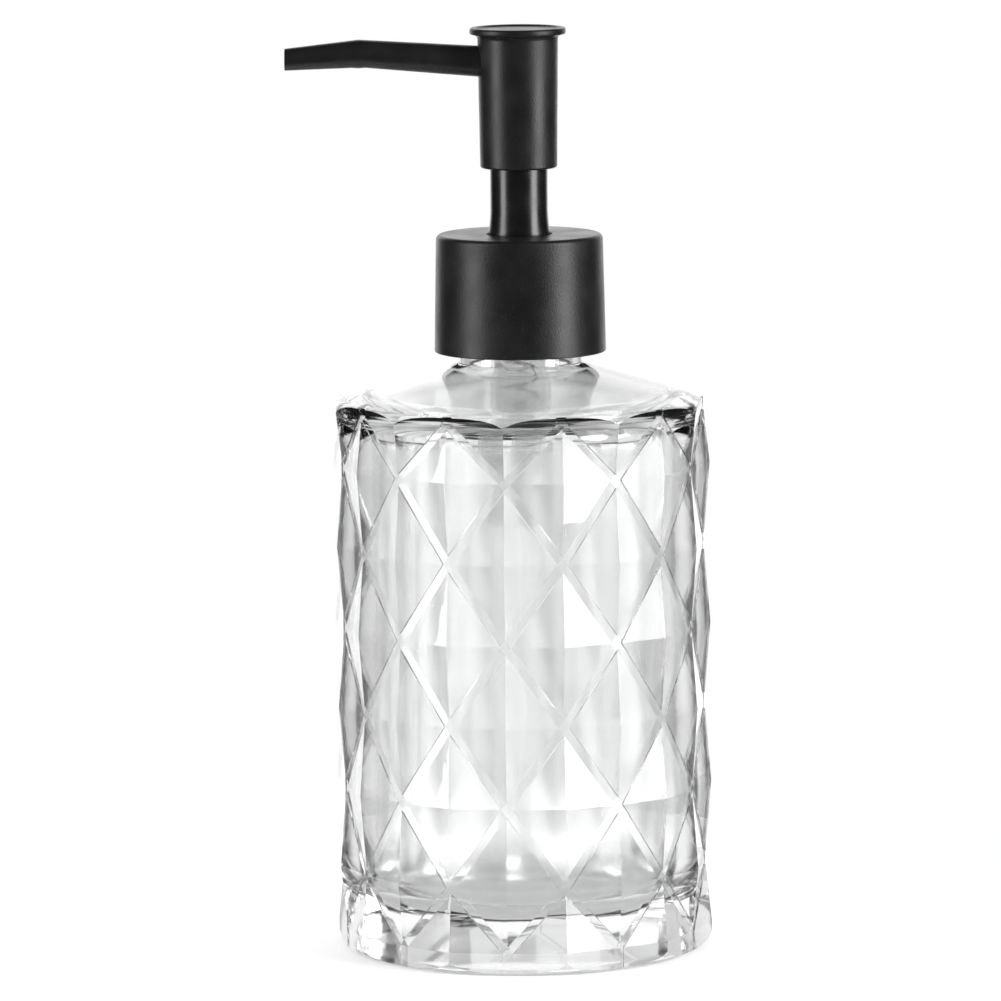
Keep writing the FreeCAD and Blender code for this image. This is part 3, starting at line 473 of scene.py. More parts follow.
# %% Grain
grain, given, wanted, spot = new_group("Grain", {"Size": 0.4 * MM, "Contrast": 0.5},
                                       ["Height"])
density = calc(grain, "DIVIDE", 1.0, given["Size"])
fine = place(grain, "TexNoise", {"Vector": spot, "Scale": density, "Detail": 3.0,
                                 "Roughness": 0.6})
pits = place(grain, "TexVoronoi", {"Vector": spot, "Scale": density}, feature="SMOOTH_F1")
mixed = place(grain, "Mix", {"Factor": given["Contrast"], "A": fine.outputs[0],
                             "B": pits.outputs["Distance"]})
grain.links.new(mixed.outputs[0], wanted["Height"])
print("group", grain.name)

# %% [markdown]
# Handling is the faint mottling of gloss that wiping and fingers leave. One cloudy mask
# moves the roughness between two values, and goes out as well to tint the colour.

# %% Handling
handling, given, wanted, spot = new_group(
    "Handling", {"Patch": 9 * MM, "Least": 0.3, "Most": 0.4}, ["Roughness", "Mask"])
density = calc(handling, "DIVIDE", 1.0, given["Patch"])
clouds = place(handling, "TexNoise", {"Vector": spot, "Scale": density, "Detail": 4.0})
mask = between(handling, clouds.outputs[0], 0.32, 0.72)
span = calc(handling, "SUBTRACT", given["Most"], given["Least"])
level = calc(handling, "ADD", given["Least"], calc(handling, "MULTIPLY", mask, span))
handling.links.new(level, wanted["Roughness"])
handling.links.new(mask, wanted["Mask"])
print("group", handling.name)

# %% [markdown]
# Ripple is the slow unevenness of pressed glass: long waves, drawn out upwards because
# the hot glass was pressed that way, with fainter and finer streaks laid over them.

# %% Ripple
UPWARD_STRETCH = (1.0, 1.0, 0.55)
ripple, given, wanted, spot = new_group("Ripple", {"Length": 9 * MM, "Streak": 0.35},
                                        ["Height"])
drawn = place(ripple, "Mapping", {"Vector": spot, "Scale": UPWARD_STRETCH}).outputs[0]
density = calc(ripple, "DIVIDE", 1.0, given["Length"])
slow = place(ripple, "TexNoise", {"Vector": drawn, "Scale": density, "Detail": 1.5})
streaks = place(ripple, "TexNoise", {
    "Vector": drawn, "Scale": calc(ripple, "MULTIPLY", density, 4.0),
    "Detail": 1.0, "Distortion": 0.6})
faint = calc(ripple, "MULTIPLY", streaks.outputs[0], given["Streak"])
ripple.links.new(calc(ripple, "ADD", slow.outputs[0], faint), wanted["Height"])
print("group", ripple.name)


# %% [markdown]
# ## Materials
# Every finish starts from the same shader. What differs is how rough it is, what fine
# texture breaks its highlight, and how its gloss and colour drift from place to place.
# A number that is the same all over is set on the shader's own socket.

# %% Start a material
def new_material(name, **sockets):
    """A material whose shader sockets hold the plain values given."""
    material = bpy.data.materials.new(name)
    material.use_nodes = True
    tree = material.node_tree
    shader = tree.nodes["Principled BSDF"]
    for label, value in sockets.items():
        shader.inputs[label.replace("_", " ")].default_value = value
    return material, tree, shader


def bumped(tree, shader, height, depth):
    """Feeds a height into the shader's normal."""
    bump = place(tree, "Bump", {"Height": height, "Distance": depth, "Strength": 1.0})
    tree.links.new(bump.outputs[0], shader.inputs["Normal"])


def tinted(tree, shader, mask, dark, light):
    """Mixes two close colours by a mask into the base colour."""
    blend = place(tree, "Mix", data_type="RGBA")
    blend.inputs["A"].default_value = (*dark, 1)
    blend.inputs["B"].default_value = (*light, 1)
    tree.links.new(mask, blend.inputs["Factor"])
    tree.links.new(blend.outputs["Result"], shader.inputs["Base Color"])


print("ready to make materials")

# %% [markdown]
# All but the glass share one build: handling drives the gloss and the tint, and grain
# drives the bump. So one function makes them from their colours, gloss and texture.

# %% A handled finish
def handled_finish(name, colours, gloss, texture, **sockets):
    """A finish from two colours, (patch, least, most) and (size, contrast, depth)."""
    material, tree, shader = new_material(name, **sockets)
    patch, least, most = gloss
    worn = use_group(tree, handling, Patch=patch, Least=least, Most=most)
    tree.links.new(worn["Roughness"], shader.inputs["Roughness"])
    tinted(tree, shader, worn["Mask"], *colours)
    size, contrast, depth = texture
    fine = use_group(tree, grain, Size=size, Contrast=contrast)
    bumped(tree, shader, fine["Height"], depth)
    print("made", material.name)
    return material


print("ready to make handled finishes")

# %% [markdown]
# The collar, sleeve, cap and spout are steel with a baked satin paint. It is nearly
# black, its gloss is soft, and its fine orange peel is what widens the lamp's stripe. A
# metallic shader would mirror the room, but the paint hides the metal, so none is used.

# %% Satin black metal
black_metal = handled_finish(
    "satin_black_metal", ((0.0065, 0.0065, 0.007), (0.0095, 0.0095, 0.010)),
    gloss=(7 * MM, 0.34, 0.42), texture=(0.3 * MM, 0.4, 0.045 * MM), IOR=1.42)

# %% [markdown]
# The guide neck comes from a polished mould, so it is smoother and darker than the
# paint, and its stripes are narrower and brighter. Its grain is wide and very shallow.

# %% Glossy black plastic
gloss_black = handled_finish(
    "polished_black_plastic", ((0.004, 0.004, 0.0045), (0.007, 0.007, 0.0075)),
    gloss=(5 * MM, 0.23, 0.29), texture=(0.8 * MM, 0.2, 0.008 * MM), IOR=1.55)

# %% [markdown]
# The closure and the core of the head are out of sight, so their moulds were never
# polished: the plastic is dull, with a sand-blasted grain.

# %% Matte black plastic
matte_black = handled_finish(
    "matte_black_plastic", ((0.012, 0.012, 0.012), (0.02, 0.02, 0.021)),
    gloss=(6 * MM, 0.48, 0.6), texture=(0.25 * MM, 0.7, 0.03 * MM), IOR=1.5)

# %% [markdown]
# The pump itself is natural plastic, without pigment, and looks milky. Scattering under
# the surface would show that best but costs time inside glass, so a low alpha lets the
# parts behind show through instead.

# %% Natural plastic of the pump
natural = handled_finish(
    "milky_plastic", ((0.72, 0.73, 0.73), (0.82, 0.83, 0.83)),
    gloss=(5 * MM, 0.35, 0.5), texture=(0.5 * MM, 0.3, 0.01 * MM), IOR=1.5, Alpha=0.28)

# %% [markdown]
# The dip tube is drawn, not moulded, and thinner than the pump's walls. It is clearer
# and smoother, with a long slow waviness from the drawing.

# %% Clear soft tube
clear_tube = handled_finish(
    "clear_tubing", ((0.86, 0.87, 0.87), (0.94, 0.95, 0.95)),
    gloss=(8 * MM, 0.2, 0.32), texture=(1.5 * MM, 0.2, 0.02 * MM), IOR=1.45, Alpha=0.16)

# %% [markdown]
# Piston, wiper and gasket are soft seals. They are pale and dull, as rubbery plastic
# is, because a seal is moulded with a fine matt skin that lets it slide.

# %% Soft seals
soft_seal = handled_finish(
    "pale_seal", ((0.66, 0.67, 0.66), (0.76, 0.77, 0.76)),
    gloss=(3 * MM, 0.5, 0.65), texture=(0.2 * MM, 0.6, 0.02 * MM), IOR=1.45)

# %% [markdown]
# Only two finishes are bare metal. The wire is drawn steel, a little rough along its
# length, and the balls of the valves are polished, since they have to seal.

# %% Spring wire and steel balls
spring_steel = handled_finish(
    "spring_wire_steel", ((0.52, 0.52, 0.53), (0.64, 0.64, 0.65)),
    gloss=(1.5 * MM, 0.24, 0.36), texture=(0.12 * MM, 0.2, 0.005 * MM), Metallic=1.0)
ball_steel = handled_finish(
    "valve_ball_steel", ((0.68, 0.68, 0.70), (0.76, 0.76, 0.77)),
    gloss=(1.2 * MM, 0.05, 0.12), texture=(0.5 * MM, 0.1, 0.001 * MM), Metallic=1.0)

# %% [markdown]
# The glass is one solid, so real refraction through real walls does most of the work.
# The diamonds are fire polished and clear. The inside of the body kept the skin of the
# plunger that pressed it, so it is faintly hazy between the floor and the shoulder.
# The heel and the shoulder's edge, where light is trapped and would glitter, are a
# little hazy too. Towards the thick base the glass colour is painted a shade greyer than
# the walls: painted shade at the foot, where the glass stands on the floor.

# %% Clear pressed glass: where the haze lies
INSIDE_RADIUS = 34.2 * MM
INSIDE_LOW, INSIDE_HIGH = 10.5 * MM, 105.5 * MM
INSIDE_HAZE = 0.22
EDGE_HAZE = 0.07
clear_glass, tree, shader = new_material("clear_pressed_glass", Transmission_Weight=1.0,
                                         IOR=1.48)
spot = place(tree, "TexCoord").outputs["Object"]
level_spot = place(tree, "VectorMath", {0: spot, 1: (1, 1, 0)}, operation="MULTIPLY")
from_axis = place(tree, "VectorMath", {0: level_spot.outputs[0]},
                  operation="LENGTH").outputs["Value"]
high = place(tree, "SeparateXYZ", {0: spot}).outputs["Z"]
above_floor = between(tree, high, INSIDE_LOW, INSIDE_LOW + 6 * MM)
below_shoulder = between(tree, high, INSIDE_HIGH - 4 * MM, INSIDE_HIGH, 1.0, 0.0)
inside = calc(tree, "MULTIPLY", calc(tree, "LESS_THAN", from_axis, INSIDE_RADIUS),
              calc(tree, "MULTIPLY", above_floor, below_shoulder))
heel = between(tree, high, 9 * MM, 13 * MM, 1.0, 0.0)
edges = calc(tree, "MAXIMUM", heel, between(tree, high, 105 * MM, 108 * MM))
print("inside haze", INSIDE_HAZE, "and edge haze", EDGE_HAZE)

# %% Clear pressed glass: haze, painted shade at the base, and ripple
haze = calc(tree, "ADD", calc(tree, "MULTIPLY", inside, INSIDE_HAZE),
            calc(tree, "MULTIPLY", edges, EDGE_HAZE))
tree.links.new(haze, shader.inputs["Roughness"])
# Painted shade: the glass colour is darkened below 15 mm, most of all below 6 mm.
tinted(tree, shader, between(tree, high, 6 * MM, 15 * MM), (0.86, 0.865, 0.865),
       (0.98, 0.985, 0.985))
waves = use_group(tree, ripple, Length=10 * MM, Streak=0.2)
bumped(tree, shader, waves["Height"], 0.012 * MM)
print("made", clear_glass.name)


# %% [markdown]
# ## The diamonds
# The body of the bottle is a ring of ten diamonds, each a low pyramid of four facets,
# with flat strips pressed between them. As a mesh that is a twenty-sided prism cut into
# rows: its corners are by turns the tips of the pyramids, which stay out, and the
# crossings of the strips, which sink in. Joining the crossings draws the strips. One
# diamond could be modelled and copied round instead, but then its seams must be closed.

# %% Sizes of the pattern
DIAMONDS = 10
PATTERN_TURN = radians(12.5)
GROOVE_DEPTH = 1.3 * MM
FIRST_ROW = 17.0 * MM
DIAMOND_HALF = 16.0 * MM
EVEN_ROWS = 6
HEEL_ROW = 4.4 * MM
SHOULDER_EDGE = 109.4 * MM
TOP_ROW = SHOULDER_EDGE - 0.9 * MM
step_angle = pi / DIAMONDS
rows = [HEEL_ROW] + [FIRST_ROW + DIAMOND_HALF * n for n in range(EVEN_ROWS)] + [TOP_ROW]
print("rows at", [round(row / MM, 1) for row in rows])


# %% [markdown]
# The prism is taller than the body at both ends, so that the rows have something to be
# cut from and the turned outside can trim it later. Each bisect adds one row of corners.
# Known fault: its top stops at 120.5 mm and the rim of the neck is at 131 mm, so the
# neck comes out 10.5 mm short. PAST has to be over 22.5 mm to take in the whole neck.

# %% Prism cut into rows
PAST = 12 * MM
block_low = rows[0] - PAST
block_high = rows[-1] + PAST
block = begin(
    "bottle_glass", bpy.ops.mesh.primitive_cylinder_add, vertices=2 * DIAMONDS,
    radius=body_radius, depth=block_high - block_low, end_fill_type="NOTHING",
    location=(0, 0, (block_low + block_high) / 2), rotation=(0, 0, PATTERN_TURN))
for row in rows:
    bpy.ops.mesh.select_all(action="SELECT")
    bpy.ops.mesh.bisect(plane_co=(0, 0, row), plane_no=UP)
print("prism of", 2 * DIAMONDS, "sides,", len(rows), "rows")


# %% [markdown]
# Every second corner of a row is a crossing, and the next row is shifted by one, as on a
# chessboard. Scaling only the crossings towards the axis leaves the tips standing out.

# %% Sink the crossings and join them
def is_crossing(point):
    """True for a corner where strips cross, counted by row and column."""
    column = round((atan2(point.co.y, point.co.x) - PATTERN_TURN) / step_angle)
    row = min(range(len(rows)), key=lambda n: abs(rows[n] - point.co.z))
    return (row + column) % 2 == 0


crossings = pick(block, "verts", is_crossing)
shrink = 1 - GROOVE_DEPTH / body_radius
bpy.ops.transform.resize(value=(shrink, shrink, 1), center_override=CENTRE)
bpy.ops.mesh.vert_connect()
print(crossings, "crossings")


# %% [markdown]
# The lines between crossings are bevelled into flat strips, and the strips are pushed in
# a little, so each gets two short walls that catch the light. All ridges are then
# softened by a tenth of a millimetre, as pressed glass never has a knife edge.

# %% Press the strips and soften the ridges
GROOVE_WIDTH = 1.8 * MM
STRIP_SINK = 0.3 * MM
RIDGE_ROUNDING = 0.09 * MM
LEAST_RIDGE = radians(2)


def joins_crossings(edge):
    """True for an edge between two crossings: the line of a strip."""
    return is_crossing(edge.verts[0]) and is_crossing(edge.verts[1])


def is_ridge(edge):
    """True for an edge whose two faces meet at more than the least angle."""
    return len(edge.link_faces) == 2 and edge.calc_face_angle() > LEAST_RIDGE


strips = pick(block, "edges", joins_crossings)
bpy.ops.mesh.bevel(offset=GROOVE_WIDTH / 2, segments=1, affect="EDGES",
                   clamp_overlap=True)
bpy.ops.mesh.select_mode(type="FACE")
bpy.ops.mesh.extrude_region_shrink_fatten(
    TRANSFORM_OT_shrink_fatten={"value": -STRIP_SINK})
ridges = pick(block, "edges", is_ridge)
bpy.ops.mesh.bevel(offset=RIDGE_ROUNDING, segments=2, profile=0.5, affect="EDGES",
                   clamp_overlap=True)
for height in (block_low, block_high):
    close_end(block, height, 0.1 * MM)
tidy_mesh()
print(strips, "strip edges,", ridges, "ridges softened")


# %% [markdown]
# ## The turned outside
# The shoulder, heel, foot and neck of the bottle are smooth and round, so they are
# turned. Where the turned form and the faceted block overlap is the outside of the
# bottle, so the rounded heel and shoulder cut across the diamonds by themselves.

# %% Outside
SHOULDER_RISE = 7.1 * MM
EDGE_ROUNDING = 3.0 * MM
SHOULDER_ROUNDING = 2.0 * MM
NECK_RADIUS = 12.45 * MM
NECK_ROOT = 12.9 * MM
ROOT_RISE = 0.3 * MM
PUNT_RADIUS = 27.0 * MM
PUNT_DEPTH = 1.4 * MM
neck_base = SHOULDER_EDGE + SHOULDER_RISE
outside = lathe("bottle_outside", [
    (0, PUNT_DEPTH), (PUNT_RADIUS, 0), (body_radius, 0), (body_radius, SHOULDER_EDGE),
    (NECK_ROOT, neck_base), (NECK_RADIUS, neck_base + ROOT_RISE),
    (NECK_RADIUS, neck_top), (0, neck_top)])
for ring, rounding, steps in (
        ((body_radius, 0), EDGE_ROUNDING, 8),
        ((body_radius, SHOULDER_EDGE), SHOULDER_ROUNDING, 8),
        ((NECK_ROOT, neck_base), 0.8 * MM, 3),
        ((PUNT_RADIUS, 0), 1.2 * MM, 4),
        ((NECK_RADIUS, neck_top), 0.6 * MM, 4)):
    round_ring(outside, ring, rounding, steps)
print("outside turned")

# %% [markdown]
# ## The hollow
# The inside is turned as well, as a solid that is cut away. Its floor and shoulder are
# well rounded, since the plunger or the air that shaped them leaves no sharp corner. It
# follows the shoulder's slope, so the wall there keeps its thickness.

# %% Hollow
BASE_THICKNESS = 9.5 * MM
BODY_WALL = 4.5 * MM
SHOULDER_WALL = 3.1 * MM
NECK_WALL = 2.0 * MM
FLOOR_ROUNDING = 10.0 * MM
INNER_ROUNDING = 5.0 * MM
bore = NECK_RADIUS - NECK_WALL
hollow_radius = body_radius - BODY_WALL
shoulder_slope = SHOULDER_RISE / (body_radius - NECK_ROOT)
inner_edge = SHOULDER_EDGE - SHOULDER_WALL
under_edge = inner_edge + shoulder_slope * BODY_WALL
under_neck = inner_edge + shoulder_slope * (body_radius - bore)
hollow = lathe("bottle_hollow", [
    (0, BASE_THICKNESS), (hollow_radius, BASE_THICKNESS), (hollow_radius, under_edge),
    (bore, under_neck), (bore, neck_top + PAST), (0, neck_top + PAST)], steps=240)
for ring, rounding, steps in (
        ((hollow_radius, BASE_THICKNESS), FLOOR_ROUNDING, 10),
        ((hollow_radius, under_edge), INNER_ROUNDING, 8),
        ((bore, under_neck), EDGE_ROUNDING, 5)):
    round_ring(hollow, ring, rounding, steps)
print("hollow turned, wall of the neck", NECK_WALL / MM, "mm")

# %% [markdown]
# The inside of a pressed bottle only touches air, so it is never quite true, and that
# gives the glass its watery look. Cutting the hollow into low rings gives it enough
# points, and a cloud texture then moves them in and out by a few hundredths of a
# millimetre. The neck is left alone, because the pump has to fit in it.

# %% Uneven hollow
UNEVENNESS = 0.03 * MM
RING_SPACING = DIAMOND_HALF / 4
height = BASE_THICKNESS + FLOOR_ROUNDING + RING_SPACING
while height < under_edge - INNER_ROUNDING:
    bpy.ops.mesh.select_all(action="SELECT")
    bpy.ops.mesh.bisect(plane_co=(0, 0, height), plane_no=UP)
    height += RING_SPACING
bpy.ops.object.mode_set(mode="OBJECT")
below_neck = hollow.vertex_groups.new(name="below_neck")
below_neck.add([v.index for v in hollow.data.vertices
                if hypot(v.co.x, v.co.y) > bore + EDGE_ROUNDING], 1.0, "REPLACE")
glass_clouds = bpy.data.textures.new("glass_clouds", "CLOUDS")
glass_clouds.noise_scale = 16 * MM
glass_clouds.noise_depth = 0
apply_modifier(hollow, "DISPLACE", texture=glass_clouds, texture_coords="LOCAL",
               vertex_group="below_neck", strength=UNEVENNESS * 2, mid_level=0.5)
print("hollow uneven by", UNEVENNESS / MM, "mm")


# %% [markdown]
# ## The screw thread of the neck
# A thread is one small section that climbs as it turns. It could be extruded along a
# helix, but the Screw modifier does just that, with the pitch as a plain number.

# %% Thread
THREAD_PITCH = 4.233 * MM
THREAD_TURNS = 1.5
THREAD_DEPTH = 1.2 * MM
THREAD_BASE = 2.4 * MM
THREAD_FLAT = 1.0 * MM
THREAD_DROP = 2.75 * MM
THREAD_SINK = 0.4 * MM
thread_rise = THREAD_PITCH * THREAD_TURNS
thread_start = neck_top - THREAD_DROP - thread_rise
flank = (THREAD_BASE - THREAD_FLAT) / 2
ridge = begin("neck_thread", bpy.ops.mesh.primitive_plane_add, size=MM,
              location=(NECK_RADIUS - THREAD_SINK, 0, thread_start - THREAD_BASE / 2))
bpy.ops.mesh.merge(type="CENTER")
for side, up in ((THREAD_SINK + THREAD_DEPTH, flank), (0, THREAD_FLAT),
                 (-THREAD_SINK - THREAD_DEPTH, flank), (0, -THREAD_BASE)):
    bpy.ops.mesh.extrude_region_move(TRANSFORM_OT_translate={"value": (side, 0, up)})
bpy.ops.mesh.select_all(action="SELECT")
bpy.ops.mesh.remove_doubles(threshold=WELD_WITHIN)
bpy.ops.mesh.edge_face_add()
bpy.ops.mesh.delete(type="ONLY_FACE")
bpy.ops.object.mode_set(mode="OBJECT")
apply_modifier(ridge, "SCREW", angle=2 * pi * THREAD_TURNS, steps=108, render_steps=108,
               screw_offset=thread_rise)
print("thread of", THREAD_TURNS, "turns:", len(ridge.data.vertices), "points")

# %% [markdown]
# A moulded thread starts and stops softly. Each end is closed and then scaled towards
# the axis with proportional editing, so the last few millimetres of the ridge sink into
# the neck and nothing sharp is left.

# %% Run the ends of the thread into the neck
INTO_NECK = 0.89
FADE = 5.5 * MM
bpy.ops.object.mode_set(mode="EDIT")
for height in (thread_start, thread_start + thread_rise):
    close_end(ridge, height, THREAD_BASE)
    bpy.ops.transform.resize(
        value=(INTO_NECK, INTO_NECK, 1), center_override=CENTRE,
        use_proportional_edit=True, use_proportional_connected=True,
        proportional_edit_falloff="SMOOTH", proportional_size=FADE)
tidy_mesh()
print("ends faded over", FADE / MM, "mm")

# %% [markdown]
# Now the four meshes become one bottle: block and turned form are intersected, the
# hollow is cut away and the thread is joined on. Light that crosses glass has to meet
# one closed skin, or it would refract at hidden walls between the pieces. Since the
# block cuts the neck short, the thread stays a loose ridge above it: see the prism.

# %% Put the bottle together
for tool, operation in ((outside, "INTERSECT"), (hollow, "DIFFERENCE"), (ridge, "UNION")):
    combine(block, tool, operation)
finish(block, "bottle", clear_glass, smooth_under=24)
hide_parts("glass_bottle")


# %% [markdown]
# ## The return spring
# The spring is one wire with a closed turn at each end and open turns between. Each run
# is a small circle turned by a Screw modifier, and the three runs are welded end to end.
# It rides the pump's body; in the real pump it squashes as the head goes down.

# %% Runs of wire
WIRE_RADIUS = 0.35 * MM
COIL_RADIUS = 3.4 * MM
CLOSED_PITCH = 0.76 * MM
OPEN_TURNS = 5
STEPS_A_TURN = 30
spring_low, spring_high = bottom("return_spring"), top("return_spring")
spring_length = spring_high - spring_low
first_coil = spring_low + WIRE_RADIUS
open_rise = spring_length - 2 * WIRE_RADIUS - 2 * CLOSED_PITCH


def coil(name, height, turns, rise):
    """A run of wire that starts at a height and rises by the amount given."""
    run = begin(name, bpy.ops.mesh.primitive_circle_add, vertices=10, radius=WIRE_RADIUS,
                location=(COIL_RADIUS, 0, height), rotation=(pi / 2, 0, 0))
    bpy.ops.object.mode_set(mode="OBJECT")
    apply_modifier(run, "SCREW", angle=2 * pi * turns, steps=STEPS_A_TURN * turns,
                   render_steps=STEPS_A_TURN * turns, screw_offset=rise)
    return run


open_low = first_coil + CLOSED_PITCH
spring = coil("return_spring_wire", first_coil, 1, CLOSED_PITCH)
open_run = coil("open_run", open_low, OPEN_TURNS, open_rise)
last_run = coil("last_run", open_low + open_rise, 1, CLOSED_PITCH)
print("spring of", OPEN_TURNS + 2, "turns,", round(spring_length / MM, 2), "mm long")

# %% Weld the spring and close its ends
bpy.ops.object.select_all(action="DESELECT")
for run in (open_run, last_run, spring):
    run.select_set(True)
bpy.context.view_layer.objects.active = spring
bpy.ops.object.join()
bpy.ops.object.mode_set(mode="EDIT")
bpy.ops.mesh.select_all(action="SELECT")
bpy.ops.mesh.remove_doubles(threshold=WELD_WITHIN)
for height in (first_coil, spring_high - WIRE_RADIUS):
    close_end(spring, height, 1.1 * WIRE_RADIUS)
tidy_mesh()
finish(spring, "pump_body", spring_steel, smooth_under=50)
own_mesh(spring)
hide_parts("return_spring")


# %% [markdown]
# ## The collar
# A thin metal shell, drawn and lightly tapered. Its upper edge is rounded by a
# millimetre, which carries one bright line round the top, and its foot is turned under.
# A solid cylinder would look the same from outside, but the collar lifts off with the
# pump, and then its hollow underside shows.

# %% Collar
COLLAR_WALL = 0.6 * MM
COLLAR_FLARE = 0.5 * MM
COLLAR_ROUNDING = 1.0 * MM
FOOT_ROUNDING = 0.28 * MM
HOLE_ROUNDING = 0.15 * MM
GUIDE_FOOT = 6.15 * MM
hole = GUIDE_FOOT + 0.35 * MM
collar_foot = reach("collar_shell")
collar_edge = collar_foot - COLLAR_FLARE
collar_low, collar_high = bottom("collar_shell"), top("collar_shell")
inner_collar = (collar_edge - COLLAR_WALL, collar_high - COLLAR_WALL)
collar = lathe("collar_metal", [
    (collar_foot - COLLAR_WALL, collar_low), (collar_foot, collar_low),
    (collar_edge, collar_high), (hole, collar_high), (hole, collar_high - COLLAR_WALL),
    inner_collar])
round_ring(collar, (collar_edge, collar_high), COLLAR_ROUNDING, 8)
round_ring(collar, inner_collar, COLLAR_ROUNDING - COLLAR_WALL)
round_ring(collar, (collar_foot, collar_low), FOOT_ROUNDING)
round_ring(collar, (hole, collar_high), HOLE_ROUNDING, 3)
finish(collar, "collar", black_metal)
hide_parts("collar_shell")


# %% [markdown]
# ## The guide neck
# This one is moulded in a glossy plastic. It leaves the collar with a short flare, rises
# straight into the head, and grips the rim of the pump with a skirt out of sight. The
# flare is three rings, each softened, because a bevel between two rings alone would
# make a corner where the real neck has a slow curve.

# %% Guide neck
STEM_BORE = 3.5 * MM
WIPER_BORE = 4.6 * MM
WIPER_HEIGHT = 2.2 * MM
GUIDE_RADIUS = 5.7 * MM
GUIDE_FLARE = 4.5 * MM
SKIRT_WALL = 0.95 * MM
SKIRT_REACH = 4.4 * MM
RIM_GRIP = 1.24 * MM
ROOF_DROP = 2.68 * MM
ROOF_WALL = 1.5 * MM
CONE_SWELL = 0.6 * MM
CONE_DROP = 0.9 * MM
guide_low, guide_high = bottom("guide_neck"), top("guide_neck")
skirt = reach("guide_neck")
skirt_bore = skirt - SKIRT_WALL
roof_high = collar_high - ROOF_DROP
roof_low = roof_high - ROOF_WALL
wiper_top = guide_low + WIPER_HEIGHT
skirt_end = guide_low + SKIRT_REACH
grip = skirt_bore - RIM_GRIP
flare = [(GUIDE_FOOT, collar_high + 0.35 * MM),
         (GUIDE_FOOT - 0.2 * MM, collar_high + 1.3 * MM),
         (GUIDE_RADIUS + 0.1 * MM, collar_high + 2.7 * MM)]
guide = lathe("guide_gloss", [
    (STEM_BORE, guide_high), (STEM_BORE, wiper_top), (WIPER_BORE, wiper_top),
    (WIPER_BORE, guide_low), (grip, guide_low), (grip, roof_low), (skirt_bore, roof_low),
    (skirt_bore, skirt_end), (skirt, skirt_end), (skirt, roof_high),
    (GUIDE_FOOT + CONE_SWELL, roof_high), (GUIDE_FOOT, collar_high - CONE_DROP), *flare,
    (GUIDE_RADIUS, collar_high + GUIDE_FLARE), (GUIDE_RADIUS, guide_high)])
round_ring(guide, (GUIDE_RADIUS, guide_high), 0.5 * MM, 5)
for ring, rounding in zip(flare + [(STEM_BORE, guide_high)],
                          (0.3 * MM, 0.5 * MM, 0.7 * MM, 0.2 * MM)):
    round_ring(guide, ring, rounding)
finish(guide, "pump_body", gloss_black)
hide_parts("guide_neck")


# %% [markdown]
# ## The head
# The head is a tapered metal sleeve with a press cap on top and a round spout. The
# sleeve is open below, so that it can pass down over the guide neck. A drill cuts the
# hole for the spout along the spout's own slope, so the tube fits it all round.

# %% Line of the spout
SPOUT_RADII = (3.1 * MM, 2.88 * MM, 2.17 * MM)
SPOUT_BEND = 31.4 * MM
SPOUT_RISE = 2.23 * MM
SPOUT_FALL = 1.05 * MM
SPOUT_REACH = 46.0 * MM
SPOUT_DROP = 7.18 * MM
cap_high = top("head_cap")
spout_line = cap_high - SPOUT_DROP
spout_slope = atan2(SPOUT_RISE, SPOUT_BEND)
print("spout's line meets the axis at", round(spout_line / MM, 2), "mm")

# %% Sleeve
SLEEVE_WALL = 0.7 * MM
SLEEVE_TAPER = 0.35 * MM
SLEEVE_ROUNDING = 0.45 * MM
DRILL_PLAY = 0.03 * MM
sleeve_low, sleeve_high = bottom("head_sleeve"), top("head_sleeve")
sleeve_edge = reach("head_sleeve")
sleeve_foot = sleeve_edge - SLEEVE_TAPER
sleeve = lathe("head_metal", [
    (sleeve_foot - SLEEVE_WALL, sleeve_low), (sleeve_foot, sleeve_low),
    (sleeve_edge, sleeve_high), (sleeve_edge - SLEEVE_WALL, sleeve_high)])
round_ring(sleeve, (sleeve_foot, sleeve_low), SLEEVE_ROUNDING, 5)
drill_height = spout_line + sleeve_edge * sin(spout_slope) / cos(spout_slope)
drill = begin("drill", bpy.ops.mesh.primitive_cylinder_add, vertices=64,
              radius=SPOUT_RADII[0] + DRILL_PLAY, depth=8 * MM,
              location=(-sleeve_edge, 0, drill_height),
              rotation=(0, spout_slope - pi / 2, 0))
combine(sleeve, drill, "DIFFERENCE")
finish(sleeve, "head", black_metal)
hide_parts("head_sleeve")

# %% [markdown]
# The cap is pressed from sheet: a shallow cove leads out to a rolled rim, and a dish
# for the fingertip lies inside it. The dish is very shallow, but without it the top
# would show as one flat grey disc.

# %% Cap
COVE = ((0.12 * MM, 0.38 * MM), (0.5 * MM, 0.68 * MM))
ROLL = ((0.1 * MM, 0.95 * MM), (0.0, 1.15 * MM))
RIM_WIDTH = 1.0 * MM
DISH_SLOPE = 0.5 * MM
DISH_DEPTH = 0.4 * MM
cap_radius = reach("head_cap")
cap_low = bottom("head_cap")
plug = sleeve_edge - SLEEVE_WALL - 0.02 * MM
rim_inside = (cap_radius - RIM_WIDTH, cap_high)
dish_edge = (cap_radius - RIM_WIDTH - DISH_SLOPE, cap_high - DISH_DEPTH)
cap = lathe("cap_metal", [
    (0, cap_low), (plug, cap_low), (plug, sleeve_high), (sleeve_edge, sleeve_high),
    *[(sleeve_edge + side, sleeve_high + up) for side, up in COVE],
    *[(cap_radius - side, sleeve_high + up) for side, up in ROLL],
    (cap_radius, cap_high), rim_inside, dish_edge, (0, dish_edge[1])])
round_ring(cap, (cap_radius, cap_high), 0.55 * MM, 6)
round_ring(cap, rim_inside, 0.35 * MM)
round_ring(cap, dish_edge, 0.3 * MM)
finish(cap, "head", black_metal)
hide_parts("head_cap")


# %% [markdown]
# ## The spout
# The spout grows from a ring at its root: each new ring is extruded, scaled and tilted,
# as a tube is bent by hand. Three rings fan out about the top of the bend, so the bend
# has a corner above and a smooth curve below. Then the tube gets its wall. A bevelled
# curve would be quicker, but it can't give a corner on one side only.

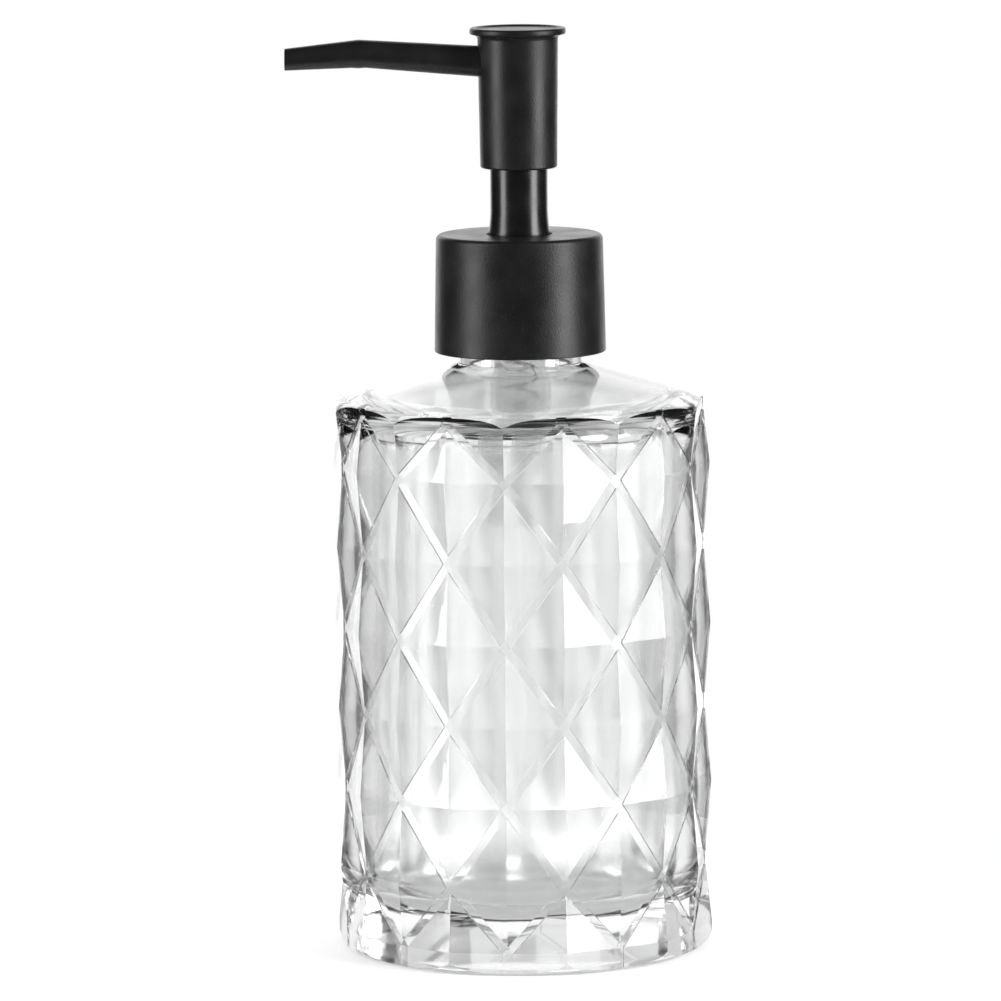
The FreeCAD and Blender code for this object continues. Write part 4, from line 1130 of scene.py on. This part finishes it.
# %% Rings of the spout
FAN = radians(14)
ROOT_OUT = 5.15 * MM
root_radius, bend_radius, tip_radius = SPOUT_RADII
tip_line = spout_line + SPOUT_RISE - SPOUT_FALL
bend_line = spout_line + SPOUT_RISE


def fanned(tilt):
    """A ring at the bend that leans about the top corner: place, radius and tilt."""
    aside = bend_radius * sin(tilt) / cos(tilt)
    return Vector((-SPOUT_BEND + aside, 0, bend_line)), bend_radius, tilt


root_middle = Vector((-ROOT_OUT, 0, spout_line + ROOT_OUT * SPOUT_RISE / SPOUT_BEND))
rings = [(root_middle, root_radius, -spout_slope), fanned(FAN), fanned(0.0), fanned(-FAN),
         (Vector((-SPOUT_REACH, 0, tip_line)), tip_radius, 0.0)]
print("spout of", len(rings), "rings")

# %% Grow the tube and give it a wall
SPOUT_SIDES = 64
SPOUT_WALL = 0.5 * MM
TIP_ROUNDING = 0.12 * MM
middle, radius, tilt = rings[0]
spout = begin("spout_metal", bpy.ops.mesh.primitive_circle_add, vertices=SPOUT_SIDES,
              radius=radius, location=middle, rotation=(0, pi / 2 - tilt, 0))
for next_middle, next_radius, next_tilt in rings[1:]:
    bpy.ops.mesh.extrude_region_move(
        TRANSFORM_OT_translate={"value": next_middle - middle})
    bpy.ops.transform.rotate(value=next_tilt - tilt, orient_axis="Y",
                             center_override=next_middle)
    grown = next_radius / radius
    bpy.ops.transform.resize(value=(grown, grown, grown), center_override=next_middle)
    middle, radius, tilt = next_middle, next_radius, next_tilt
bpy.ops.object.mode_set(mode="OBJECT")
apply_modifier(spout, "SOLIDIFY", thickness=SPOUT_WALL, offset=-1.0, use_even_offset=True)
bpy.ops.object.mode_set(mode="EDIT")
tidy_mesh()


def on_tip_rim(point):
    """True for a vertex on the outer rim of the tip."""
    return (abs(point.co.x + SPOUT_REACH) < 0.02 * MM
            and hypot(point.co.y, point.co.z - tip_line) > tip_radius - 0.1 * MM)


rim = pick(spout, "edges", lambda edge: all(on_tip_rim(v) for v in edge.verts))
bpy.ops.mesh.bevel(offset=TIP_ROUNDING, segments=3, profile=0.5, affect="EDGES")
finish(spout, "head", black_metal)
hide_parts("spout_tube")
print("spout rim of", rim, "edges")


# %% [markdown]
# ## Finishes of the working pieces
# The rest of the pump is turned and plain, and the working model already has its true
# shape, so it is shown as it is. It only gets the finishes of the materials it is made
# of, which are seen through the glass or when the pump is lifted.

# %% Dress the working model
DRESS = {
    natural: ("pump_housing", "ball_retainer", "piston_seat", "stem"),
    clear_tube: ("dip_tube", "spout_liner"),
    soft_seal: ("stem_wiper", "neck_gasket", "piston"),
    matte_black: ("screw_closure", "head_core"),
    ball_steel: ("inlet_ball", "outlet_ball"),
}
for material, names in DRESS.items():
    for name in names:
        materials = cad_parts[name].data.materials
        materials.clear()
        materials.append(material)
print("dressed", sum(len(names) for names in DRESS.values()), "pieces")


# %% [markdown]
# ## Both boxes
# The finished model has to fill the same box as the working model, so both boxes are
# printed side by side.

# %% Both boxes side by side
looks_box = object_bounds()
for label, box in (("working model", cad_box), ("finished model", looks_box)):
    print(label, [[round(value / MM, 2) for value in corner] for corner in box])
